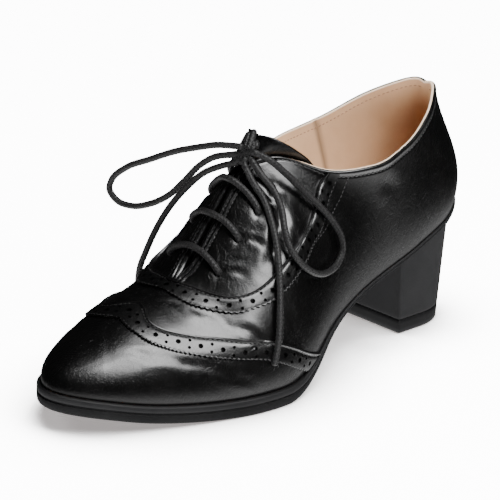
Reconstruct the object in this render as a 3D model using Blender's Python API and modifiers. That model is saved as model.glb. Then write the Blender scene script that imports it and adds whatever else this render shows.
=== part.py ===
"""A heeled oxford shoe for the left foot, made the way a shoemaker puts one together.

The shape of the last comes first. Its plan, its feather line (where upper and sole meet) and its
ribs (curves that climb from the feather line to the ridge of the vamp, the throat or the topline)
are read from short tables of shares of the named sizes. Every leather piece is cut from that one
surface at its own lift. Lengths are in metres. The toe points to -Y, the outer side of the foot
(lateral) is +X, and the sole stands on Z = 0.
"""
import math

import bmesh
import bpy
import numpy as np
from mathutils import Vector

MM = 0.001
LATERAL = 1
MEDIAL = -1

# Sole and heel
LENGTH = 245.0 * MM          # sole, toe to back
BALL_WIDTH = 84.0 * MM       # nominal width over the ball of the foot
TOE_SPRING = 10.3 * MM       # how far the toe of the sole lifts
SOLE_FRONT = 8.0 * MM        # sole thickness under the forefoot
SOLE_WAIST = 2.2 * MM        # sole thickness under the arch and the seat
HEEL_HEIGHT = 54.8 * MM      # floor to the underside of the seat, at the back
TOP_LIFT = 7.0 * MM          # wearing piece under the heel
HEEL_LENGTH = 36.8 * MM      # top lift, breast to back
HEEL_WIDTH = 38.8 * MM
HEEL_SETBACK = 11.0 * MM     # from the back of the sole to the back of the top lift
BREAST_FLARE = 5.0 * MM      # how much further forward, out and back the block is at the seat
SIDE_FLARE = 4.0 * MM
BACK_FLARE = 3.6 * MM
HEEL_ROUND = 1.15            # depth of the heel's round back as a share of its half width
CUT_MARGIN = 10.0 * MM       # how far a block and its cutter stand over the cut
CUT_PAST = 30.0 * MM         # how far the cutter reaches past the back of the sole

# Upper
INSTEP_DEPTH = 86.0 * MM     # feather line to the top of the throat
COLLAR_DEPTH = 58.0 * MM     # feather line to the topline at the back
COLLAR_HALF = 29.0 * MM      # half the width of the opening for the foot
THROAT_HALF = 2.0 * MM       # half the gap between the two facings
WELT = 2.0 * MM              # how far the sole stands out past the upper at the forefoot, and
SEAT_WELT = 0.7 * MM         # from the arch to the back
WALL = 2.0 * MM              # upper leather with its lining
OVERLAY = 1.0 * MM           # thickness of the brogued bands
TONGUE_WALL = 2.0 * MM
TONGUE_SLACK = 1.1 * MM      # from the lining of the facings down to the tongue
INSOLE = 2.4 * MM
INSOLE_BEVEL = 1.0 * MM      # how far its top edge is drawn in
EYELET_RADIUS = 1.9 * MM
PUNCH = 10.0 * MM            # length of the pegs that punch the eyelets
LACE = 3.0 * MM              # diameter of the round lace
GAP = 0.3 * MM               # clearance between neighbours
BAND_LIFT = 0.45 * MM        # the same under a band, with room for the flats of its facets

# Fineness of the meshes
STATIONS = 36                # steps along the last
SADDLE = (0.53, 0.70)        # shares where the steps are halved, below the top of the throat
RIB_STEPS = 14               # steps up a rib
BAND_STEP = 5.0 * MM
BAND_RUNS = 3                # steps across a band
LACE_STEP = 2.6              # distance between the points of a lace, in diameters
HEEL_STEPS = 16              # steps round the back of the heel
PUNCH_SIDES = 12
KNOT_SEGMENTS = 16           # round the core of the knot, and from end to end
KNOT_RINGS = 10
BAND_LENGTH = 152.0 * MM     # about half of either band, from the centre of the vamp
HEEL_FROM = 0.62             # share of the sole where the cutter of the heel begins
SHARP = math.radians(35)     # edges sharper than this are not shaded smooth
WELD = 0.002 * MM            # points closer than this are one


def turn(share):
    """Angle of a share on a half circle, so that curves read along it have round ends."""
    return np.arccos(np.clip(1.0 - 2.0 * np.asarray(share, float), -1.0, 1.0)) / math.pi


def plain(share):
    return np.asarray(share, float)


def smooth(places, values, at):
    """A smooth curve through the values, with the slope of a parabola at each place."""
    step = np.diff(places)
    rise = np.diff(values) / step
    slope = np.empty_like(values)
    slope[1:-1] = (rise[:-1] * step[1:] + rise[1:] * step[:-1]) / (step[:-1] + step[1:])
    slope[0] = 1.5 * rise[0] - 0.5 * slope[1]
    slope[-1] = 1.5 * rise[-1] - 0.5 * slope[-2]
    i = np.clip(np.searchsorted(places, at, side="right") - 1, 0, len(places) - 2)
    t = (at - places[i]) / step[i]
    near = (1 + 2 * t) * (1 - t) ** 2 * values[i] + t * (1 - t) ** 2 * step[i] * slope[i]
    far = t * t * (3 - 2 * t) * values[i + 1] + t * t * (t - 1) * step[i] * slope[i + 1]
    return near + far


class Table:
    """Rows of shares under named columns. Columns are read as smooth curves along the first one."""

    def __init__(self, along, columns, rows):
        self.along = along
        self.columns = columns.split()
        self.rows = np.array(rows, float)
        self.places = along(self.rows[:, 0])

    def column(self, name):
        return self.rows[:, self.columns.index(name)]

    def read(self, name, share):
        return smooth(self.places, self.column(name), self.along(share))


# Half widths of the sole as shares of half the ball width, along its length from the toe
PLAN = Table(turn, "share lateral medial", [
    (0.00, 0.00, 0.00),
    (0.02, 0.27, 0.30),
    (0.06, 0.475, 0.53),
    (0.12, 0.665, 0.725),
    (0.20, 0.85, 0.905),
    (0.28, 1.00, 1.02),
    (0.35, 1.095, 1.02),
    (0.42, 1.105, 0.93),
    (0.50, 0.98, 0.75),
    (0.58, 0.79, 0.57),
    (0.66, 0.69, 0.48),
    (0.74, 0.665, 0.48),
    (0.82, 0.665, 0.54),
    (0.90, 0.60, 0.54),
    (0.96, 0.41, 0.38),
    (1.00, 0.00, 0.00),
])

# The feather line: shares of the toe spring and of the rise from forefoot to seat
FEATHER = Table(plain, "share spring rise", [
    (0.00, 1.00, 0.00),
    (0.06, 0.74, 0.00),
    (0.13, 0.40, 0.00),
    (0.20, 0.17, 0.00),
    (0.26, 0.05, 0.00),
    (0.31, 0.00, 0.00),
    (0.42, 0.00, 0.00),
    (0.46, 0.00, 0.025),
    (0.54, 0.00, 0.185),
    (0.62, 0.00, 0.385),
    (0.70, 0.00, 0.545),
    (0.78, 0.00, 0.68),
    (0.86, 0.00, 0.825),
    (0.94, 0.00, 0.935),
    (1.00, 0.00, 1.00),
])

# Sole thickness between waist (0) and forefoot (1)
SUBSTANCE = Table(plain, "share front", [
    (0.00, 1.00),
    (0.42, 1.00),
    (0.50, 0.60),
    (0.58, 0.14),
    (0.64, 0.00),
    (1.00, 0.00),
])

WELT_FULL = 0.42             # share up to which the sole has its full welt, and
WELT_THIN = 0.66             # from where it is trimmed close to the upper

# Side of the sole, top to bottom: share of its thickness, and how far it is cut in
SOLE_SIDE = [
    (0.00, 0.9 * MM),
    (0.07, 0.1 * MM),
    (0.34, 0.0 * MM),
    (0.38, 0.6 * MM),
    (0.46, 0.6 * MM),
    (0.50, 0.0 * MM),
    (0.88, 0.2 * MM),
    (1.00, 1.2 * MM),
]

# Ribs of the upper. share: foot of the rib on the sole. top: where its head lies along the sole.
# instep, back: height of the head above the feather line, as shares of the instep and collar
# depths. slit, collar: its distance from the centre plane, as shares of the throat's and the
# collar's half widths. low, high: fullness at foot and head. flare, roll: degrees that the foot leans
# out, and that the head's tangent turns down.
RIBS = Table(turn, "share top instep back slit collar low high flare roll", [
    (0.00, 0.105, 0.2595, 0.000, 1.0, 0.000, 0.50, 0.60, 9, 0),
    (0.06, 0.130, 0.3010, 0.000, 1.0, 0.000, 0.57, 0.60, 9, 0),
    (0.13, 0.172, 0.3660, 0.000, 1.0, 0.000, 0.60, 0.58, 10, 0),
    (0.20, 0.220, 0.4200, 0.000, 1.0, 0.000, 0.59, 0.56, 11, 0),
    (0.27, 0.270, 0.470, 0.000, 1.0, 0.000, 0.58, 0.54, 12, 0),
    (0.33, 0.312, 0.535, 0.000, 1.0, 0.000, 0.565, 0.525, 12, 2),
    (0.39, 0.349, 0.650, 0.000, 1.0, 0.000, 0.545, 0.49, 11, 4),
    (0.45, 0.387, 0.785, 0.000, 1.0, 0.000, 0.525, 0.505, 10, 7),
    (0.51, 0.426, 0.935, 0.000, 1.0, 0.000, 0.495, 0.49, 9, 12),
    (0.56, 0.460, 1.020, 0.000, 1.0, 0.017, 0.47, 0.455, 9, 18),
    (0.60, 0.511, 1.000, 0.000, 0.5, 0.275, 0.45, 0.41, 8, 30),
    (0.65, 0.589, 0.800, 0.000, 0.0, 0.740, 0.42, 0.38, 8, 52),
    (0.71, 0.674, 0.000, 1.010, 0.0, 1.000, 0.40, 0.38, 9, 68),
    (0.79, 0.766, 0.000, 0.945, 0.0, 0.945, 0.38, 0.36, 10, 78),
    (0.88, 0.851, 0.000, 0.960, 0.0, 0.725, 0.37, 0.35, 12, 80),
    (0.95, 0.906, 0.000, 1.000, 0.0, 0.385, 0.39, 0.36, 14, 82),
    (1.00, 0.938, 0.000, 0.980, 0.0, 0.000, 0.39, 0.35, 14, 76),
])
THROAT_START = 0.31          # share where the ridge begins to open into the throat, and
THROAT_OPEN = 0.36           # where the gap has its full width
RIDGE_FROM = 0.03            # the ribs before this one take its slope of the ridge at their heads
RIDGE_HOLD = 0.42            # up to here a rib's head lies along the ridge's slope, and past
RIDGE_END = 0.60             # here it lies level
NUDGE = 0.004                # step for slopes on the surface

# Wing band over the vamp: across (0 ridge, 1 sole) and the shares of its front and back edges
WING = Table(plain, "across front back", [
    (0.00, 0.120, 0.203),
    (0.08, 0.121, 0.196),
    (0.18, 0.126, 0.182),
    (0.28, 0.136, 0.183),
    (0.38, 0.147, 0.203),
    (0.48, 0.168, 0.244),
    (0.58, 0.203, 0.303),
    (0.68, 0.262, 0.357),
    (0.78, 0.343, 0.408),
    (0.88, 0.402, 0.458),
    (1.00, 0.474, 0.523),
])

BAND_FOOT = 0.988            # the wing band ends just above the sole

# Facing band, from the centre of the vamp round the facing to the topline
FACING = Table(plain, "run inner inner_across outer outer_across", [
    (0.00, 0.303, 0.000, 0.270, 0.000),
    (0.10, 0.312, 0.115, 0.268, 0.145),
    (0.20, 0.325, 0.250, 0.283, 0.288),
    (0.30, 0.345, 0.360, 0.326, 0.441),
    (0.40, 0.372, 0.430, 0.366, 0.519),
    (0.50, 0.403, 0.462, 0.410, 0.563),
    (0.60, 0.447, 0.476, 0.462, 0.578),
    (0.72, 0.500, 0.480, 0.525, 0.553),
    (0.86, 0.577, 0.400, 0.592, 0.460),
    (1.00, 0.649, 0.000, 0.664, 0.000),
])

# Eyelets, lowest first: rib share and place across at the hole, and where its bar meets the ridge
EYELETS = [
    (0.364, 0.213, 0.388),
    (0.429, 0.203, 0.456),
    (0.483, 0.220, 0.520),
    (0.540, 0.215, 0.575),
]

BAR_STEPS = (0.0, 0.35, 0.7, 1.0)
BAR_BOW = 0.6 * MM           # how much higher a bar runs over the throat than over its holes

# The tongue is seen above the throat: its top there, and how far it reaches under the facings
TONGUE_TOP = (121.0 * MM, 110.0 * MM)      # from the toe, and above the floor
TONGUE_STEPS = 4             # how far it reaches down under a facing, in rib steps
TONGUE_FROM = 0.26           # shares where it begins, where its middle leaves the facings,
TONGUE_LEAVES = 0.56         # and where its edges leave them
TONGUE_TO = 0.635
TONGUE_TUCK = 0.02           # the last row of the tongue before its top edge is this much lower
TONGUE_ARCH = (0.2, 0.8)     # how its free middle leaves the facing, and how flat its crown is
TONGUE_CROWN = (0.33, 0.66)  # places of the points between


def feather(share):
    """Height of the feather line, the top of the sole."""
    rise = HEEL_HEIGHT + SOLE_WAIST - SOLE_FRONT
    spring_share = max(0.0, float(FEATHER.read("spring", share)))
    rise_share = max(0.0, float(FEATHER.read("rise", share)))
    return SOLE_FRONT + TOE_SPRING * spring_share + rise * rise_share


def thickness(share):
    front = min(1.0, max(0.0, float(SUBSTANCE.read("front", share))))
    return SOLE_WAIST + (SOLE_FRONT - SOLE_WAIST) * front


def along(share):
    return (share - 0.5) * LENGTH


def half_width(side, share):
    name = "lateral" if side == LATERAL else "medial"
    return float(PLAN.read(name, share)) * BALL_WIDTH / 2


def plan_normal(side, share):
    """Outward direction of the sole's outline, as if on the lateral side."""
    before = max(0.0, share - NUDGE)
    after = min(1.0, share + NUDGE)
    if before == 0.0:
        return np.array([0.0, -1.0]) if share == 0.0 else turned(side, share)
    if after == 1.0:
        return np.array([0.0, 1.0]) if share == 1.0 else turned(side, share)
    run = np.array([half_width(side, after) - half_width(side, before), (after - before) * LENGTH])
    return np.array([run[1], -run[0]]) / np.hypot(*run)


def turned(side, share):
    """The same direction near the round ends, where the outline turns too fast for plain steps."""
    angle = turn(share)
    low = (1 - math.cos(math.pi * max(0.0, angle - NUDGE))) / 2
    high = (1 - math.cos(math.pi * min(1.0, angle + NUDGE))) / 2
    run = np.array([half_width(side, high) - half_width(side, low), (high - low) * LENGTH])
    return np.array([run[1], -run[0]]) / np.hypot(*run)


def edge(side, share, cut_in, height):
    """A point by the sole's outline, cut in from it, at a height."""
    normal = plan_normal(side, share)
    wide = max(0.0, half_width(side, share) - cut_in * normal[0])
    return np.array([side * wide, along(share) - cut_in * normal[1], height])


RIDGE_HEIGHTS = np.array([
    feather(top) + instep * INSTEP_DEPTH + back * COLLAR_DEPTH
    for top, instep, back in zip(RIBS.column("top"), RIBS.column("instep"), RIBS.column("back"))])


def ease(part):
    """From 0 to 1 with level ends."""
    part = min(1.0, max(0.0, part))
    return part * part * (3 - 2 * part)


def head(share):
    """Head of a rib on the ridge, the throat or the topline, on the lateral side."""
    opening = ease((share - THROAT_START) / (THROAT_OPEN - THROAT_START))
    wide = opening * (THROAT_HALF * RIBS.read("slit", share)
                      + COLLAR_HALF * RIBS.read("collar", share))
    if share >= 1.0:
        wide = 0.0
    height = smooth(RIBS.places, RIDGE_HEIGHTS, turn(share))
    return np.array([max(0.0, float(wide)), along(float(RIBS.read("top", share))), float(height)])


def ridge_slope(share):
    """Slope of the ridge at a rib's head, fading out up the throat."""
    if share >= RIDGE_END:
        return 0.0
    share = max(share, RIDGE_FROM)
    ridge = head(share + NUDGE) - head(share - NUDGE)
    return ridge[2] / ridge[1] * ease((RIDGE_END - share) / (RIDGE_END - RIDGE_HOLD))


def rib(side, share):
    """The four Bezier points of a rib, from its foot on the sole to its head."""
    foot = edge(side, share, WELT, feather(share) + GAP)
    foot[0] = abs(foot[0])
    normal = plan_normal(side, share)
    top = head(share)
    outwards = foot[:2] - top[:2]
    reach = np.hypot(*outwards)
    outwards = outwards / reach
    slope = ridge_slope(share)
    roll = math.radians(float(RIBS.read("roll", share)))
    flare = math.radians(float(RIBS.read("flare", share)))
    climb = top[2] - foot[2]
    lean = np.array([normal[0] * math.sin(flare), normal[1] * math.sin(flare), math.cos(flare)])
    fall = np.array([outwards[0], outwards[1], outwards[1] * slope]) * math.cos(roll)
    fall[2] -= math.sin(roll)
    low = foot + lean * float(RIBS.read("low", share)) * climb
    span = reach * math.cos(roll) + climb * math.sin(roll)
    high = top + fall * float(RIBS.read("high", share)) * span
    points = np.array([foot, low, high, top])
    points[:, 0] *= side
    return points


def on_rib(side, share, across):
    """A point of the last's surface; across runs from the rib's head (0) to the sole (1)."""
    foot, low, high, top = rib(side, share)
    t = 1.0 - across
    return ((1 - t) ** 3 * foot + 3 * (1 - t) ** 2 * t * low
            + 3 * (1 - t) * t * t * high + t ** 3 * top)


def skin_normal(side, share, across):
    lengthwise = (on_rib(side, min(1.0, share + NUDGE), across)
                  - on_rib(side, max(0.0, share - NUDGE), across))
    upwards = (on_rib(side, share, max(0.0, across - NUDGE))
               - on_rib(side, share, min(1.0, across + NUDGE)))
    normal = np.cross(lengthwise, upwards) * side
    on_ridge = across == 0.0 and share < THROAT_START
    if on_ridge or share in (0.0, 1.0):
        normal[0] = 0.0
    return normal / np.linalg.norm(normal)


def skin(side, share, across, lift=0.0):
    """A point at a lift above the last's surface, or inside it where the lift is negative."""
    point = on_rib(side, share, across)
    if lift:
        point = point + lift * skin_normal(side, share, across)
    return point


def all_stations():
    """Shares along the last, close together at its round ends and over the saddle."""
    shares = []
    for i in range(2 * STATIONS + 1):
        share = (1 - math.cos(math.pi * i / (2 * STATIONS))) / 2
        if i % 2 == 0 or SADDLE[0] < share < SADDLE[1]:
            shares.append(share)
    return shares


def stations_between(first, last):
    return [share for share in all_stations() if first <= share <= last]


def material(name, colour, roughness, metallic=0.0):
    made = bpy.data.materials.new(name)
    made.use_nodes = True
    shader = made.node_tree.nodes["Principled BSDF"]
    shader.inputs["Base Color"].default_value = (*colour, 1.0)
    shader.inputs["Roughness"].default_value = roughness
    shader.inputs["Metallic"].default_value = metallic
    made.diffuse_color = (*colour, 1.0)
    return made


def add_object(name, mesh, finish=None, group="heeled_oxford"):
    made = bpy.data.objects.new(name, mesh)
    bpy.data.collections[group].objects.link(made)
    if finish:
        mesh.materials.append(finish)
        mesh.shade_smooth()
        mesh.set_sharp_from_angle(angle=SHARP)
    return made


def mesh_from(name, points, faces):
    """A mesh of lofted faces, with the points that meet welded."""
    mesh = bpy.data.meshes.new(name)
    mesh.from_pydata([tuple(point) for point in points], [], faces)
    work = bmesh.new()
    work.from_mesh(mesh)
    bmesh.ops.remove_doubles(work, verts=work.verts, dist=WELD)
    bmesh.ops.dissolve_degenerate(work, edges=work.edges, dist=WELD)
    work.to_mesh(mesh)
    work.free()
    return mesh


def sheet(rows, flip=False):
    """Points and faces of a grid of rows. Faces turn over with flip."""
    points = [point for row in rows for point in row]
    wide = len(rows[0])
    faces = []
    for i in range(len(rows) - 1):
        for j in range(wide - 1):
            corner = i * wide + j
            face = (corner, corner + wide, corner + wide + 1, corner + 1)
            faces.append(face[::-1] if flip else face)
    return points, faces


def joined(*sheets):
    points = []
    faces = []
    for some_points, some_faces in sheets:
        faces += [tuple(index + len(points) for index in face) for face in some_faces]
        points += some_points
    return points, faces


def thicken(made, wall, outwards=False):
    shell = made.modifiers.new("wall", "SOLIDIFY")
    shell.thickness = wall
    shell.offset = 1.0 if outwards else -1.0
    shell.use_even_offset = True
    shell.thickness_clamp = 0.0
    return made


def combine(made, other, operation):
    """An exact Boolean of a part with a helper that stays hidden."""
    other.hide_render = True
    other.display_type = "WIRE"
    step = made.modifiers.new(other.name, "BOOLEAN")
    step.operation = operation
    step.object = other
    step.solver = "EXACT"


def make_upper(finish):
    """One hollow shell, open at the collar, down the throat and underneath."""
    sides = []
    steps = [step / RIB_STEPS for step in range(RIB_STEPS + 1)]
    for side in (LATERAL, MEDIAL):
        rows = [[skin(side, share, 1.0 - step) for step in steps] for share in all_stations()]
        sides.append(sheet(rows, flip=side == MEDIAL))
    upper = add_object("upper", mesh_from("upper", *joined(*sides)), finish)
    thicken(upper, WALL)
    combine(upper, make_punches(), "DIFFERENCE")
    return upper


def make_punches():
    """Pegs on the eyelet places, joined into one cutter."""
    work = bmesh.new()
    for share, across, _ in EYELETS:
        for side in (LATERAL, MEDIAL):
            normal = Vector(skin_normal(side, share, across))
            place = Vector(skin(side, share, across, -WALL / 2))
            peg = bmesh.ops.create_cone(work, cap_ends=True, segments=PUNCH_SIDES,
                                        radius1=EYELET_RADIUS, radius2=EYELET_RADIUS, depth=PUNCH)
            bmesh.ops.rotate(work, verts=peg["verts"], matrix=normal.to_track_quat("Z", "Y").to_matrix())
            bmesh.ops.translate(work, verts=peg["verts"], vec=place)
    mesh = bpy.data.meshes.new("eyelet_punches")
    work.to_mesh(mesh)
    work.free()
    return add_object("eyelet_punches", mesh, group="cutters")


def band_rows(corners):
    """Rows of points across a band, one for each pair of its corners."""
    rows = []
    for side, inner, outer in corners:
        row = []
        for k in range(BAND_RUNS + 1):
            mix = k / BAND_RUNS
            share = inner[0] + (outer[0] - inner[0]) * mix
            across = inner[1] + (outer[1] - inner[1]) * mix
            row.append(skin(side, share, across, BAND_LIFT))
        rows.append(row)
    return rows


def make_band(name, corner_at, finish):
    """An overlay on both sides of the shoe, one strip that runs through the centre of the vamp."""
    count = math.ceil(BAND_LENGTH / BAND_STEP)
    sides = []
    for side in (LATERAL, MEDIAL):
        corners = [(side, *corner_at(i / count)) for i in range(count + 1)]
        sides.append(sheet(band_rows(corners), flip=side == LATERAL))
    band = add_object(name, mesh_from(name, *joined(*sides)), finish)
    return thicken(band, OVERLAY, outwards=True)


def wing_corners(run):
    """Back and front edge of the wing band at one place across the vamp."""
    across = BAND_FOOT * math.sin(run * math.pi / 2)
    return (float(WING.read("back", across)), across), (float(WING.read("front", across)), across)


def facing_corners(run):
    inner = (float(FACING.read("inner", run)), max(0.0, float(FACING.read("inner_across", run))))
    outer = (float(FACING.read("outer", run)), max(0.0, float(FACING.read("outer_across", run))))
    return inner, outer


def tongue_middle(share):
    """The tongue's centre line: behind the throat, then straight up to its tip."""
    below = min(share, TONGUE_LEAVES)
    lift = -(WALL + TONGUE_SLACK)
    middle = (skin(LATERAL, below, 0.0, lift) + skin(MEDIAL, below, 0.0, lift)) / 2
    tip = np.array([0.0, TONGUE_TOP[0] - LENGTH / 2, TONGUE_TOP[1]])
    return middle + (tip - middle) * (share - below) / (TONGUE_TO - TONGUE_LEAVES)


def tongue_section(share):
    """Half a section of the tongue: under the facing, then free across to the centre."""
    lift = -(WALL + TONGUE_SLACK)
    steps = range(TONGUE_STEPS, -1, -1)
    halves = [[skin(side, share, step / RIB_STEPS, lift) for step in steps]
              for side in (LATERAL, MEDIAL)]
    middle = tongue_middle(share)
    full = []
    for points in halves:
        edge_point = points[-1]
        before = points[-2]
        heading = (edge_point - before) / np.linalg.norm(edge_point - before)
        span = np.linalg.norm(middle - edge_point)
        first = edge_point + heading * span * TONGUE_ARCH[0]
        second = middle + np.array([edge_point[0] * TONGUE_ARCH[1], 0.0, 0.0])
        free = []
        for t in TONGUE_CROWN:
            free.append((1 - t) ** 3 * edge_point + 3 * (1 - t) ** 2 * t * first
                        + 3 * (1 - t) * t * t * second + t ** 3 * middle)
        full.append(points + free)
    return full[0] + [middle] + full[1][::-1]


def make_tongue(finish):
    shares = stations_between(TONGUE_FROM, TONGUE_TO - TONGUE_TUCK) + [TONGUE_TO]
    rows = [tongue_section(share) for share in shares]
    tongue = add_object("tongue", mesh_from("tongue", *sheet(rows)), finish)
    return thicken(tongue, TONGUE_WALL)


def slab(name, levels, finish):
    """A solid as long as the sole. Each level gives its cut-in and height at a share."""
    shares = all_stations()
    rings = []
    for level in levels:
        lateral = [edge(LATERAL, share, *level(share)) for share in shares]
        medial = [edge(MEDIAL, share, *level(share)) for share in shares]
        rings.append((lateral, medial))
    top = sheet(list(zip(*rings[0])))
    bottom = sheet(list(zip(*rings[-1])), flip=True)
    walls = [sheet([ring[0] for ring in rings]), sheet([ring[1] for ring in rings], flip=True)]
    return add_object(name, mesh_from(name, *joined(top, bottom, *walls)), finish)


def welt_trim(share):
    """How far the sole's edge is trimmed back towards the upper from the arch on."""
    return (WELT - SEAT_WELT) * ease((share - WELT_FULL) / (WELT_THIN - WELT_FULL))


def make_outsole(finish):
    levels = []
    for part, cut_in in SOLE_SIDE:
        def level(share, part=part, cut_in=cut_in):
            groove = cut_in * thickness(share) / SOLE_FRONT
            return welt_trim(share) + groove, feather(share) - part * thickness(share)
        levels.append(level)
    return slab("outsole", levels, finish)


def make_insole(finish):
    cut_in = WELT + WALL + 2 * GAP
    levels = [lambda share: (cut_in + INSOLE_BEVEL, feather(share) + GAP + INSOLE),
              lambda share: (cut_in, feather(share) + GAP)]
    return slab("insole", levels, finish)


def heel_ring(height, low):
    """Outline of the heel at a height: square at the breast and round at the back."""
    climb = (height - low) / HEEL_HEIGHT
    half = HEEL_WIDTH / 2 + SIDE_FLARE * climb
    back = LENGTH / 2 - HEEL_SETBACK + BACK_FLARE * climb
    breast = LENGTH / 2 - HEEL_SETBACK - HEEL_LENGTH - BREAST_FLARE * climb
    depth = HEEL_ROUND * half
    ring = [(half, breast)]
    for i in range(HEEL_STEPS + 1):
        angle = math.pi * i / HEEL_STEPS
        ring.append((half * math.cos(angle), back - depth + depth * math.sin(angle)))
    ring.append((-half, breast))
    return [np.array([x, y, height]) for x, y in ring]


def prism(name, rings, finish):
    """A closed solid through two rings of the same number of points."""
    count = len(rings[0])
    points = [point for ring in rings for point in ring]
    faces = [tuple(range(count))[::-1], tuple(range(count, 2 * count))]
    for i in range(count):
        after = (i + 1) % count
        faces.append((i, after, count + after, count + i))
    mesh = mesh_from(name, points, faces)
    return add_object(name, mesh, finish)


def make_heel(block_finish, lift_finish):
    """Block and top lift. The block's top is cut to the curve of the seat above it."""
    lift = prism("top_lift", [heel_ring(0.0, 0.0), heel_ring(TOP_LIFT, 0.0)], lift_finish)
    low = TOP_LIFT + GAP
    high = HEEL_HEIGHT + CUT_MARGIN
    block = prism("heel_block", [heel_ring(low, 0.0), heel_ring(high, 0.0)], block_finish)
    combine(block, make_seat_cutter(high + CUT_MARGIN), "DIFFERENCE")
    return block, lift


def make_seat_cutter(high):
    """All that lies above the sole's underside, less the gap, from the waist to past the back."""
    shares = stations_between(HEEL_FROM, 1.0)
    lows = [(along(share), feather(share) - thickness(share) - GAP) for share in shares]
    lows.append((lows[-1][0] + CUT_PAST, lows[-1][1]))
    wide = BALL_WIDTH / 2
    under = [[np.array([-wide, y, z]), np.array([wide, y, z])] for y, z in lows]
    over = [[np.array([-wide, y, high]), np.array([wide, y, high])] for y, _ in lows]
    left = [[low[0], top[0]] for low, top in zip(under, over)]
    right = [[low[1], top[1]] for low, top in zip(under, over)]
    front = [under[0], over[0]]
    back = [under[-1], over[-1]]
    sheets = [sheet(under), sheet(over), sheet(left), sheet(right), sheet(front), sheet(back)]
    mesh = mesh_from("seat_cutter", *joined(*sheets))
    work = bmesh.new()
    work.from_mesh(mesh)
    bmesh.ops.recalc_face_normals(work, faces=work.faces)
    work.to_mesh(mesh)
    work.free()
    return add_object("seat_cutter", mesh, group="cutters")


# The knot: its place in millimetres, its axis, the half sizes of its core and of the turn over it
KNOT = (3.0, -11.0, 103.4)
KNOT_LEAN = (0.0, 0.42, 0.91)
KNOT_RADII = (5.2 * MM, 3.0 * MM, 4.4 * MM)
WRAP_RADII = np.array([0.0, 2.6 * MM, 4.3 * MM])
WRAP_STEPS = 14
LACE_SIDES = 8

# Routes of the free laces, in millimetres, from the knot outwards
LATERAL_LOOP = [
    (8.5, -10.6, 104.4), (13.0, -7.0, 102.0), (17.6, -1.0, 95.6), (22.6, 6.0, 87.0),
    (27.0, 12.0, 79.6), (30.0, 17.4, 72.3), (32.0, 21.0, 65.0), (33.0, 21.4, 58.4),
    (34.8, 17.0, 54.0), (37.0, 8.2, 52.2), (38.6, -0.8, 54.6), (37.6, -8.4, 60.4),
    (34.4, -12.4, 67.4), (30.6, -12.6, 75.0), (25.0, -9.8, 83.0), (19.2, -9.6, 90.4),
    (13.4, -11.6, 96.2), (8.4, -12.0, 100.6),
]
MEDIAL_LOOP = [
    (-1.4, -11.7, 105.0), (-10.6, -15.4, 104.0), (-19.9, -18.3, 101.0), (-31.4, -22.1, 96.6),
    (-42.6, -26.0, 90.8), (-54.0, -29.9, 84.6), (-60.8, -32.2, 77.4), (-61.9, -32.5, 73.0),
    (-58.2, -31.2, 68.2), (-50.6, -28.6, 67.0), (-42.6, -26.0, 69.6), (-33.4, -22.9, 75.6),
    (-25.9, -20.6, 83.9), (-17.8, -18.6, 93.4), (-9.6, -17.0, 99.2), (-2.6, -14.6, 101.4),
]
LATERAL_END = [
    (5.4, -13.8, 98.6), (11.6, -14.6, 92.8), (17.0, -13.4, 86.6), (24.0, -14.6, 78.0),
    (31.2, -17.8, 68.4), (37.8, -22.0, 55.4), (43.0, -26.4, 42.6), (46.6, -30.4, 31.4),
    (48.4, -34.0, 23.4),
]
MEDIAL_END = [
    (0.6, -14.4, 98.6), (-7.6, -16.6, 95.0), (-15.4, -18.4, 90.4), (-23.4, -21.8, 81.6),
    (-29.8, -25.2, 71.8), (-34.6, -28.6, 60.8), (-38.4, -31.0, 49.6), (-41.4, -31.6, 41.6),
    (-43.6, -30.6, 33.4), (-44.8, -28.6, 26.6),
]


def smooth_route(points, step):
    """Points at even steps along a smooth curve through the route."""
    points = np.asarray(points, float)
    lengths = np.linalg.norm(np.diff(points, axis=0), axis=1)
    places = np.concatenate([[0.0], np.cumsum(lengths)])
    count = max(4, round(places[-1] / step))
    at = np.linspace(0.0, places[-1], count + 1)
    return np.stack([smooth(places, points[:, k], at) for k in range(3)], axis=1)


def make_cord(name, points, finish, group="heeled_oxford"):
    """A round lace as a bevelled curve with closed ends."""
    route = smooth_route(points, LACE_STEP * LACE)
    curve = bpy.data.curves.new(name, "CURVE")
    curve.dimensions = "3D"
    curve.bevel_depth = LACE / 2
    curve.bevel_resolution = 2
    curve.use_fill_caps = True
    line = curve.splines.new("POLY")
    line.points.add(len(route) - 1)
    for point, place in zip(line.points, route):
        point.co = (*place, 1.0)
    curve.materials.append(finish)
    made = bpy.data.objects.new(name, curve)
    bpy.data.collections[group].objects.link(made)
    return made


def make_bar(name, eyelet, finish):
    """A bar of lace over the throat, from above one hole to above the other."""
    share, across, crest = eyelet
    lift = LACE / 2 + GAP
    points = []
    for side in (LATERAL, MEDIAL):
        half = []
        for mix in BAR_STEPS:
            here = share + (crest - share) * mix
            half.append(skin(side, here, across * (1 - mix), lift + BAR_BOW * mix))
        points.append(half)
    route = points[0] + points[1][::-1]
    return make_cord(name, route, finish)


def make_wrap(place, lean):
    """One turn of lace, flattened round the knot."""
    rings = []
    for i in range(WRAP_STEPS + 1):
        angle = 2 * math.pi * i / WRAP_STEPS
        outwards = np.array([0.0, math.cos(angle), math.sin(angle)])
        centre = outwards * WRAP_RADII
        ring = []
        for k in range(LACE_SIDES + 1):
            around = 2 * math.pi * k / LACE_SIDES
            point = centre + LACE / 2 * (outwards * math.cos(around)
                                         + np.array([math.sin(around), 0.0, 0.0]))
            ring.append(place + lean @ Vector(point))
        rings.append(ring)
    return add_object("knot_wrap", mesh_from("knot_wrap", *sheet(rings)), group="cutters")


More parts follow.
